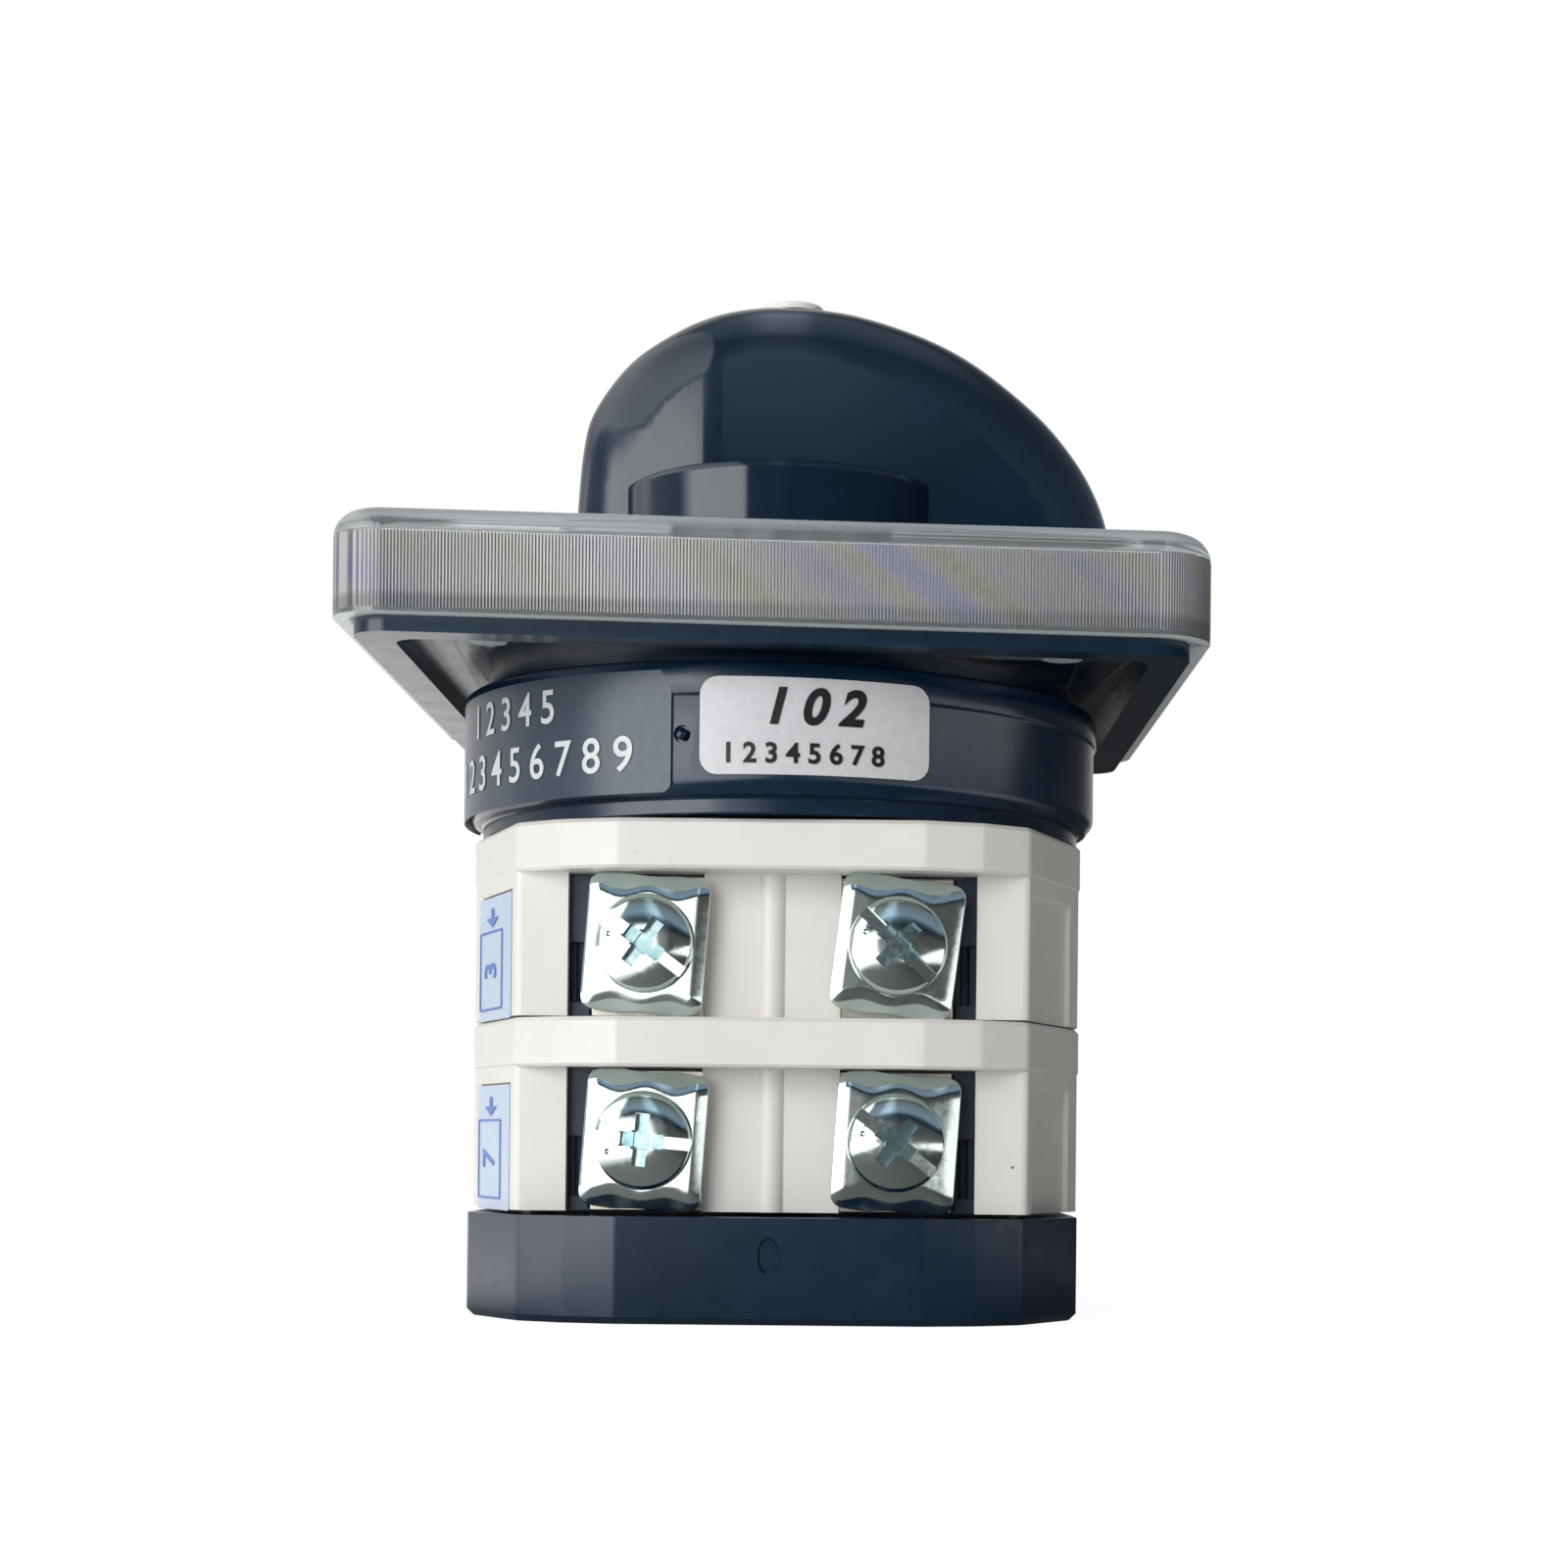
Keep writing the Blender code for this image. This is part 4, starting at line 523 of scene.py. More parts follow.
# The handle's outline as seen from the front, X and Z, from its right foot over the crest to its left foot
KNOB_OUTLINE = (
    (27.1, 49.0), (26.3, 55.3), (25.7, 58.6), (24.9, 61.9), (23.7, 64.6), (22.1, 67.0), (20.2, 69.2),
    (17.6, 71.5), (14.6, 73.7), (11.6, 75.3), (8.4, 76.5), (5.5, 77.3), (3.0, 77.7), (1.0, 77.85),
    (-1.6, 77.85), (-4.4, 77.45), (-7.1, 76.6), (-9.8, 75.2), (-12.0, 73.6), (-13.8, 71.5),
    (-15.15, 69.2), (-15.7, 66.8), (-16.0, 63.8), (-16.25, 59.5), (-16.35, 55.3), (-16.4, 49.0),
)
FIN_HALF = 6.1
FIN_ROUND = 5.4
FIN_ROUND_STEPS = 16
FIN_BEND_X = -4.6
FIN_BEND_SOFTNESS = 1.0
FIN_SLOPE = 0.225
FIN_SLICE = 0.75
FIN_SLICES = 14
PLUG_X = 0.5
PLUG_BORE_RADIUS = 2.75
PLUG_BORE_DEPTH = 4.0
PLUG_BORE_MIDDLE = 79.6


def inset_line(line, inset):
    """Shift an open line sideways into the form that it bounds."""
    shifted = []
    for index, point in enumerate(line):
        before = line[max(0, index - 1)]
        after = line[min(len(line) - 1, index + 1)]
        along = (after - before).normalized()
        shifted.append(point + Vector((-along.y, along.x)) * inset)
    return shifted


def fin_share(x):
    """Share of the full thickness at x: the handle thins towards its left end, past a soft bend."""
    past = max(0.0, FIN_BEND_X - x)
    run = math.sqrt(past ** 2 + FIN_BEND_SOFTNESS ** 2) - FIN_BEND_SOFTNESS
    return 1 - FIN_SLOPE * run / FIN_HALF


def fin_form():
    """The handle: half of it is lofted with a rounded edge, then sliced, thinned and mirrored."""
    outline = smooth_line(KNOB_OUTLINE)
    half = bmesh.new()
    rings = []
    turns = [0.0] + [math.pi / 2 * step / FIN_ROUND_STEPS for step in range(FIN_ROUND_STEPS + 1)]
    for index, turn in enumerate(turns):
        inset = FIN_ROUND * (1 - math.cos(turn))
        depth = 0.0 if index == 0 else FIN_HALF - FIN_ROUND * (1 - math.sin(turn))
        rings.append([half.verts.new((point.x * MM, -depth * MM, point.y * MM))
                      for point in inset_line(outline, inset)])
    bridge(half, rings)
    half.faces.new(rings[-1])
    for step in range(FIN_SLICES):
        bmesh.ops.bisect_plane(half, geom=everything(half), plane_no=(1, 0, 0),
                               plane_co=((FIN_BEND_X - FIN_SLICE * step) * MM, 0, 0))
    for vert in half.verts:
        vert.co.y *= fin_share(vert.co.x / MM)
    bmesh.ops.mirror(half, geom=everything(half), axis="Y", merge_dist=0.001 * MM)
    trimmed = bmesh.ops.bisect_plane(half, geom=everything(half), plane_co=(0, 0, KNOB_BOTTOM * MM),
                                     plane_no=(0, 0, -1), clear_outer=True)
    rim = [item for item in trimmed["geom_cut"] if isinstance(item, bmesh.types.BMEdge)]
    bmesh.ops.edgeloop_fill(half, edges=rim)
    bmesh.ops.recalc_face_normals(half, faces=half.faces)
    return half


def make_knob():
    bore_place = Matrix.Translation(Vector((PLUG_X, 0.0, PLUG_BORE_MIDDLE)) * MM)
    bore = cylinder_form(PLUG_BORE_RADIUS, PLUG_BORE_DEPTH, bore_place)
    fin = carved("knob_form", fin_form(), [(bore, 0)], [KNOB_ABS])
    piece("knob_fin_moulding", fin, [KNOB_ABS], "rotor", ("knob",), 40.0)

    # Points close to the hub's sharp edges keep the shading of its wall even
    hub = spun([
        (3.5, 50.6), (7.3, 50.6), (7.5, 50.8), (7.5, 55.3), (12.5, 55.3), (12.7, 55.5), (12.7, 55.7),
        (12.7, 62.7), (12.7, 62.85), (12.6, 63.1), (12.4, 63.25), (12.1, 63.3), (11.8, 63.3), (3.5, 63.3),
    ], 128)
    piece("knob_hub_moulding", hub, [KNOB_ABS], "rotor")

    plug = spun([
        (0.01, 72.1), (1.8, 72.1), (2.05, 72.4), (2.05, 77.62), (2.5, 77.62), (2.5, 78.0), (2.42, 78.14),
        (2.1, 78.22), (0.01, 78.28),
    ], 48)
    bmesh.ops.translate(plug, verts=plug.verts, vec=(PLUG_X * MM, 0, 0))
    piece("knob_plug_cap", plug, [CAP_WHITE], "rotor", ("knob_plug",), 40.0)


# Clear cover

COVER_WALL = 1.1
COVER_ROOF = 1.6
COVER_FILLET = 1.8
COVER_FILLET_STEPS = 6
CORNER_STEPS = 16
RIB_DEPTH = 0.06
RIM_HEIGHT = 0.3
RIB_START = 0.05


def square_ring(bm, half, corner, height, ribs, depth=0.0):
    """One ring of vertices round a rounded square, with ribs along its straight sides."""
    ring = []
    straight = half - corner
    for quarter in range(4):
        turn = Matrix.Rotation(quarter * math.pi / 2, 4, "Z")
        for column in range(ribs * 2):
            out = half - (depth if column % 2 else 0.0)
            ring.append(turn @ Vector((out, -straight + straight * column / ribs, height)))
        for step in range(CORNER_STEPS + 1):
            angle = math.pi / 2 * step / CORNER_STEPS
            ring.append(turn @ Vector((straight + corner * math.cos(angle),
                                       straight + corner * math.sin(angle), height)))
    return [bm.verts.new(point * MM) for point in ring]


def round_ring(bm, like, radius, height):
    """A ring of vertices on a circle, each in line with one of another ring."""
    directions = [Vector((vertex.co.x, vertex.co.y, 0.0)).normalized() for vertex in like]
    return [bm.verts.new(Vector((way.x * radius, way.y * radius, height)) * MM) for way in directions]


def make_cover():
    """A clear cap: ribbed skirt, smooth roof with a rounded edge, frosted rim and a bore for the hub."""
    ribs = int(2 * (COVER_HALF - COVER_CORNER) / RIB_PITCH)
    rim_top = COVER_BOTTOM + RIM_HEIGHT
    fillet_foot = COVER_TOP - COVER_FILLET
    ceiling = COVER_TOP - COVER_ROOF
    bm = bmesh.new()
    outer = [square_ring(bm, COVER_HALF, COVER_CORNER, height, ribs, depth) for height, depth in (
        (COVER_BOTTOM, 0.0), (rim_top, 0.0), (rim_top + RIB_START, RIB_DEPTH),
        (fillet_foot - RIB_START, RIB_DEPTH), (fillet_foot, 0.0))]
    roof = [outer[-1]]
    for step in range(1, COVER_FILLET_STEPS + 1):
        turn = math.pi / 2 * step / COVER_FILLET_STEPS
        inset = COVER_FILLET * (1 - math.cos(turn))
        height = COVER_TOP - COVER_FILLET * (1 - math.sin(turn))
        roof.append(square_ring(bm, COVER_HALF - inset, COVER_CORNER - inset, height, ribs))
    roof.append(round_ring(bm, roof[-1], COVER_BORE, COVER_TOP))
    inside = [square_ring(bm, COVER_HALF - COVER_WALL, COVER_CORNER - COVER_WALL, height, ribs)
              for height in (COVER_BOTTOM, ceiling)]
    inside.append(round_ring(bm, roof[-2], COVER_BORE, ceiling))
    materials = [CLEAR_TOP, CLEAR_RIBS, CLEAR_RIM]
    clear, ribbed, frosted = range(len(materials))
    bridge(bm, outer[:2], clear)
    bridge(bm, outer[1:4], ribbed)
    bridge(bm, outer[3:], clear)
    bridge(bm, roof, clear)
    bridge(bm, [outer[0], inside[0]], frosted)
    bridge(bm, inside, clear)
    bridge(bm, [inside[-1], roof[-1]], clear)
    bmesh.ops.recalc_face_normals(bm, faces=bm.faces)
    piece("clear_cover_moulding", lean(bm), materials, "housing", ("clear_cover",), 25.0)


# Labels and print

SHEET_THICKNESS = 0.06
PRINT_THICKNESS = 0.02
CAPITAL_SHARE = 0.7
WRAP_SLICE = 0.6
LABEL_LIFT = 0.22
PRINT_LIFT = 0.07
LABEL_ABOVE_FLOOR = 4.6


def sheet_form(width, height, corner):
    """A thin rounded sheet in X and Y, centred on the origin."""
    bm = bmesh.new()
    bmesh.ops.create_grid(bm, x_segments=1, y_segments=1, size=0.5)
    bmesh.ops.scale(bm, vec=(width * MM, height * MM, 1.0), verts=bm.verts)
    bmesh.ops.bevel(bm, geom=bm.verts[:], offset=corner * MM, segments=6, profile=0.5,
                    affect="VERTICES", material=-1)
    bmesh.ops.solidify(bm, geom=bm.faces[:], thickness=SHEET_THICKNESS * MM)
    return bm


def letter_form(words, height, weight=0.0, slant=0.0):
    """Plain lettering as a mesh in X and Y, centred on the origin."""
    curve = bpy.data.curves.new("lettering", "FONT")
    curve.body = words
    curve.align_x = "CENTER"
    curve.align_y = "CENTER"
    curve.size = height * MM / CAPITAL_SHARE
    curve.offset = weight * MM
    curve.shear = slant
    curve.extrude = PRINT_THICKNESS * MM / 2
    letters = link(bpy.data.objects.new("lettering", curve))
    graph = bpy.context.evaluated_depsgraph_get()
    mesh = bpy.data.meshes.new_from_object(letters.evaluated_get(graph))
    bpy.data.objects.remove(letters, do_unlink=True)
    bm = bmesh.new()
    bm.from_mesh(mesh)
    bpy.data.meshes.remove(mesh)
    bmesh.ops.remove_doubles(bm, verts=bm.verts, dist=0.0005 * MM)
    return bm


def wrap(bm, radius, angle, height):
    """Bend a flat form round the housing, centred on an angle from the front."""
    left = min(vertex.co.x for vertex in bm.verts)
    right = max(vertex.co.x for vertex in bm.verts)
    slices = max(1, int((right - left) / (WRAP_SLICE * MM)))
    for step in range(1, slices):
        across = left + (right - left) * step / slices
        bmesh.ops.bisect_plane(bm, geom=everything(bm), plane_co=(across, 0, 0), plane_no=(1, 0, 0))
    for vertex in bm.verts:
        turn = math.radians(angle) + vertex.co.x / (radius * MM)
        out = radius * MM + vertex.co.z
        vertex.co = Vector((out * math.sin(turn), -out * math.cos(turn), height * MM + vertex.co.y))
    bmesh.ops.recalc_face_normals(bm, faces=bm.faces)
    return lean(bm)


def stand_up(bm, place):
    """Stand a flat form upright, facing -Y, and move it to its place."""
    bm.transform(place @ Matrix.Rotation(math.pi / 2, 4, "X"))
    bmesh.ops.recalc_face_normals(bm, faces=bm.faces)
    return bm


def make_housing_labels():
    """A white and a dark label with plain digits; the dark one has its upper right corner cut away."""
    radius = HOUSING_RADIUS + LABEL_LIFT

    def label(name, sheet, angle, height, material):
        piece(name, wrap(sheet, radius, angle, height), [material], "housing")

    def digits(name, letters, angle, height, ink):
        piece(name, wrap(letters, radius + PRINT_LIFT, angle, height), [ink], "housing")

    label("plain_white_label", sheet_form(16.4, 6.75, 1.25), 7.35, 41.65, LABEL_WHITE)
    digits("white_label_digits", letter_form("1 0 2", 2.4, 0.12, 0.25), 6.6, 42.9, PRINT_BLACK)
    digits("white_label_numbers", letter_form("1 2 3 4 5 6 7 8", 1.35, 0.05), 5.2, 39.7, PRINT_BLACK)
    dark = sheet_form(36.0, 8.4, 0.7)
    cut = bmesh.ops.bisect_plane(dark, geom=everything(dark), plane_co=(17.2 * MM, 4.2 * MM, 0.0),
                                 plane_no=(1.6, 1.0, 0.0), clear_outer=True)
    edges = [item for item in cut["geom_cut"] if isinstance(item, bmesh.types.BMEdge)]
    bmesh.ops.edgeloop_fill(dark, edges=edges)
    label("plain_dark_label", dark, -58.6, 41.3, LABEL_DARK)
    digits("dark_label_numbers", letter_form("1 2 3 4 5", 2.3, 0.03), -53.0, 43.4, PRINT_WHITE)
    digits("dark_label_more_numbers", letter_form("1 2 3 4 5 6 7 8 9", 2.4, 0.03), -50.0, 39.7, PRINT_WHITE)


def bar(width, height, x, y):
    """A thin printed bar in X and Y."""
    return box_form((width, height, PRINT_THICKNESS), (x, y, 0.0))


def joined(forms):
    """Put several forms into one."""
    whole = bmesh.new()
    for form in forms:
        mesh = bpy.data.meshes.new("form")
        form.to_mesh(mesh)
        form.free()
        whole.from_mesh(mesh)
        bpy.data.meshes.remove(mesh)
    return whole


def arrow_form(length, width):
    """A short arrow that points down the label, its middle on the origin."""
    stem = bar(width * 0.22, length * 0.55, 0.0, length * 0.225)
    # A circle of three segments and radius 0.5 is a triangle 0.87 wide
    head = bmesh.new()
    bmesh.ops.create_circle(head, cap_ends=True, segments=3, radius=0.5 * MM)
    bmesh.ops.rotate(head, cent=(0, 0, 0), matrix=Matrix.Rotation(math.pi, 3, "Z"), verts=head.verts)
    bmesh.ops.scale(head, vec=(width / 0.87, length * 0.7, 1.0), verts=head.verts)
    bmesh.ops.translate(head, verts=head.verts, vec=(0, -length * 0.2 * MM, PRINT_THICKNESS * MM))
    return joined([stem, head])


def make_terminal_labels():
    """A label on each white frame's front left facet: an arrow over a box with a plain digit."""
    along = (FACET_FIRST - FACET_LAST).normalized()
    outward = Vector((along.y, -along.x))
    if outward.y > 0:
        outward = -outward
    middle = FACET_FIRST.lerp(FACET_LAST, 0.5)
    facet_turn = Matrix.Rotation(math.atan2(along.y, along.x), 4, "Z")
    for stage, digit in (("upper", "3"), ("lower", "7")):
        height = STAGE_FLOORS[stage] + LABEL_ABOVE_FLOOR

        def on_facet(lift):
            spot = middle + outward * lift
            return Matrix.Translation(Vector((spot.x, spot.y, height)) * MM) @ facet_turn

        sheet = stand_up(sheet_form(9.6, 9.1, 0.25), on_facet(0.03))
        piece("terminal_label_" + stage, sheet, [TERMINAL_LABEL], "housing")
        frame_bars = [bar(6.6, 0.16, -1.1, 2.0), bar(6.6, 0.16, -1.1, -3.7),
                      bar(0.3, 5.7, -4.4, -0.85), bar(0.3, 5.7, 2.2, -0.85)]
        arrow = arrow_form(1.35, 3.6)
        bmesh.ops.translate(arrow, verts=arrow.verts, vec=(-0.7 * MM, 3.05 * MM, 0))
        number = letter_form(digit, 3.4, 0.06)
        number.transform(Matrix.Translation(Vector((-1.1, -0.85, 0.0)) * MM)
                         @ Matrix.Scale(0.6, 4, (0, 1, 0)) @ Matrix.Rotation(math.pi / 2, 4, "Z"))
        ink = stand_up(joined(frame_bars + [arrow, number]), on_facet(0.08))
        piece("terminal_print_" + stage, ink, [PRINT_BLUE], "housing")


def make_legend_print():
    """Three plain positions with their lines, flat on the legend plate."""
    forms = []
    for digit, degrees in (("1", -60.0), ("0", 0.0), ("2", 60.0)):
        turn = Matrix.Rotation(math.radians(degrees), 4, "Z")
        line = bar(4.5, 0.5, 16.0, 0.0)
        line.transform(turn)
        number = letter_form(digit, 4.0, 0.05)
        number.transform(turn @ Matrix.Translation((22.0 * MM, 0.0, 0.0))
                         @ Matrix.Rotation(-math.pi / 2, 4, "Z"))
        forms += [line, number]
    ink = joined(forms)
    ink.transform(Matrix.Translation((0.0, 0.0, (LEGEND_TOP + PRINT_THICKNESS) * MM)))
    piece("legend_print", ink, [PRINT_BLACK], "housing")


# Terminals

# How each terminal was tightened, in degrees: slot angle, clamp tilt and turn of the clamp's face
SETTINGS = {
    ("upper", "front", "left"): (37.0, 4.0, -4.5),
    ("upper", "front", "right"): (44.0, 7.0, 2.0),
    ("upper", "rear", "left"): (12.0, 3.0, 0.0),
    ("upper", "rear", "right"): (68.0, 1.5, 0.0),
    ("lower", "front", "left"): (5.0, 4.0, -4.5),
    ("lower", "front", "right"): (38.0, 3.7, 2.0),
    ("lower", "rear", "left"): (81.0, 2.0, 0.0),
    ("lower", "rear", "right"): (24.0, 5.0, 0.0),
}

# A screw head follows this share of the turn of its clamp's face
SCREW_FACE_SHARE = 0.6

STRIP_THICKNESS = 0.3
CLAMP_HALF_X = 3.95
CLAMP_HALF_Z = 4.5
CLAMP_CORNER = 0.55
CLAMP_THICKNESS = 0.85
CHANNEL_DEPTH = 0.03
LIP_START = 3.3
LIP_WAVE = 0.25
LIP_CURL = 0.3
SIDE_START = 3.5
SIDE_CURL = 0.9


def screw_form():
    """Pan head with a full slot and a short cross, standing up from Z 0."""
    profile = [
        (0.01, -2.0), (1.7, -2.0), (1.7, 0.0), (3.42, 0.0), (3.5, 0.08), (3.5, 1.15), (3.46, 1.4),
        (3.34, 1.62), (3.14, 1.8), (2.86, 1.93), (2.5, 2.03), (2.0, 2.11), (1.2, 2.17), (0.01, 2.2),
    ]
    slot = box_form((8.0, 0.85, 1.5), (0, 0, 2.1))
    cross_bar = box_form((3.1, 1.05, 2.4), (0, 0, 1.95))
    cross_arm = box_form((0.95, 3.7, 2.2), (0, 0, 2.05))
    middle_turn = Matrix.Translation((0, 0, 2.0 * MM)) @ Matrix.Rotation(math.pi / 4, 4, "Z")
    middle = cylinder_form(0.95, 3.0, middle_turn, 4)
    dot = ball_form(0.22, Matrix.Translation((-2.3 * MM, -1.0 * MM, 2.05 * MM)), 12, 8)
    tools = [(slot, 0), (cross_bar, 1), (cross_arm, 1), (middle, 1), (dot, 0)]
    return carved("screw_form", spun(profile, 72), tools, [ZINC, ZINC_RECESS])


def clamp_form():
    """A stamped saddle plate: two shallow channels, rounded corners and lips that curl back."""
    bm = bmesh.new()
    bmesh.ops.create_grid(bm, x_segments=44, y_segments=50, size=1.0)
    for vertex in bm.verts:
        across = vertex.co.x * CLAMP_HALF_X
        up = vertex.co.y * CLAMP_HALF_Z
        into_x = (abs(across) - (CLAMP_HALF_X - CLAMP_CORNER)) / CLAMP_CORNER
        into_z = (abs(up) - (CLAMP_HALF_Z - CLAMP_CORNER)) / CLAMP_CORNER
        if into_x > 0 and into_z > 0:
            share = max(into_x, into_z) / math.hypot(into_x, into_z)
            across = math.copysign(CLAMP_HALF_X - CLAMP_CORNER + CLAMP_CORNER * into_x * share, across)
            up = math.copysign(CLAMP_HALF_Z - CLAMP_CORNER + CLAMP_CORNER * into_z * share, up)
        swell = math.cos(2 * math.pi * across / CLAMP_HALF_X)
        channel = CHANNEL_DEPTH * (1 - swell)
        curl = max(0.0, abs(up) - (LIP_START + LIP_WAVE * swell)) ** 2 * LIP_CURL
        side = max(0.0, abs(across) - SIDE_START) ** 2 * SIDE_CURL
        vertex.co = Vector((across, -(channel - curl - side), up)) * MM
    bmesh.ops.recalc_face_normals(bm, faces=bm.faces)
    face = bm.faces[0]
    thickness = CLAMP_THICKNESS if face.normal.y > 0 else -CLAMP_THICKNESS
    bmesh.ops.solidify(bm, geom=bm.faces[:], thickness=thickness * MM)
    bmesh.ops.recalc_face_normals(bm, faces=bm.faces)
    return bm


def make_terminals():
    screw = screw_form()
    clamp = clamp_form()
    for (stage, face, side), (slot_angle, tilt, face_turn) in SETTINGS.items():
        tail = "%s_%s_%s" % (stage, face, side)
        yaw = Matrix.Rotation(0.0 if face == "front" else math.pi, 4, "Z")
        x = TERMINAL_X if (side == "right") == (face == "front") else -TERMINAL_X
        height = STAGE_FLOORS[stage] + TERMINAL_Z

        head = screw.copy()
        head.transform(yaw @ Matrix.Translation(Vector((x, -SCREW_HEAD_UNDERSIDE, height)) * MM)
                       @ Matrix.Rotation(math.radians(face_turn * SCREW_FACE_SHARE), 4, "Z")
                       @ Matrix.Rotation(math.radians(slot_angle), 4, "Y")
                       @ Matrix.Rotation(math.pi / 2, 4, "X"))
        soften(piece("terminal_screw_head_" + tail, head, [ZINC, ZINC_RECESS], "housing",
                     ("terminal_screw_" + tail,), 35.0), 0.06, 40.0, 2)

        strip = box_form((2 * STRIP_HALF_X, STRIP_THICKNESS, 2 * STRIP_HALF_Z), (x, -STRIP_FACE, height))
        strip.transform(yaw)
        soften(piece("tinned_strip_face_" + tail, strip, [TINNED_STRIP], "housing"),
               0.1, 40.0, 2)

        saddle = clamp.copy()
        saddle.transform(yaw @ Matrix.Translation(Vector((x, -CLAMP_BACK - CLAMP_THICKNESS, height)) * MM)
                         @ Matrix.Rotation(math.radians(face_turn), 4, "Z")
                         @ Matrix.Rotation(math.radians(tilt), 4, "Y"))
        soften(piece("clamp_saddle_" + tail, saddle, [ZINC], "housing",
                     ("clamp_plate_" + tail,), 50.0), 0.12, 55.0, 2)
    screw.free()
    clamp.free()


# Inner nodes

def dress(material, *names):
    """Give solids that stay as they are a real material."""
    for name in names:
        mesh = NODES[name].data
        if not NODES[name].material_slots:
            mesh.materials.append(material)
        for slot in NODES[name].material_slots:
            slot.material = material


def dress_inner_nodes():
    dress(NATURAL_NYLON, "index_wheel", "cam_upper", "cam_lower")
    dress(SPRING_STEEL, "detent_leaf_front", "detent_leaf_rear")
    dress(SHAFT_STEEL, "shaft")
    dress(ZINC, "knob_screw", "plate_screw_1", "plate_screw_2", "tie_screw_left", "tie_screw_right")
    dress(LEGEND_SHEET, "legend_plate")
    for stage in STAGE_FLOORS:
        for face in ("front", "rear"):
            dress(NATURAL_NYLON, "contact_carrier_%s_%s" % (stage, face))
            dress(TINNED_STRIP, "contact_bridge_%s_%s" % (stage, face))
            for side in ("left", "right"):
                dress(TINNED_STRIP, "fixed_contact_%s_%s_%s" % (stage, face, side))


def make_contact_springs():
    """Copies of the spring solids, each with a mesh of its own."""
    for stage in STAGE_FLOORS:
        for face in ("front", "rear"):
            node = "contact_spring_%s_%s" % (stage, face)
            coil = piece("contact_spring_coil_%s_%s" % (stage, face), merged_solid(node), [SPRING_STEEL],
                         "housing", (node,), 40.0)
            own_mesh(coil)


# Studio

PANEL_STRENGTH = 5.0
BACKDROP_GREY = 0.8
WARM_WHITE = (1.0, 0.99, 0.97, 1.0)
SOFT_LIGHT = 0.75
FLOOR_GLOW = 1.04
FLOOR_GLOW_SHARE = 0.93
FLOOR_MIRRORED = 3.5
FLOOR_HALF = 2.5
FLOOR_DROP = 0.05


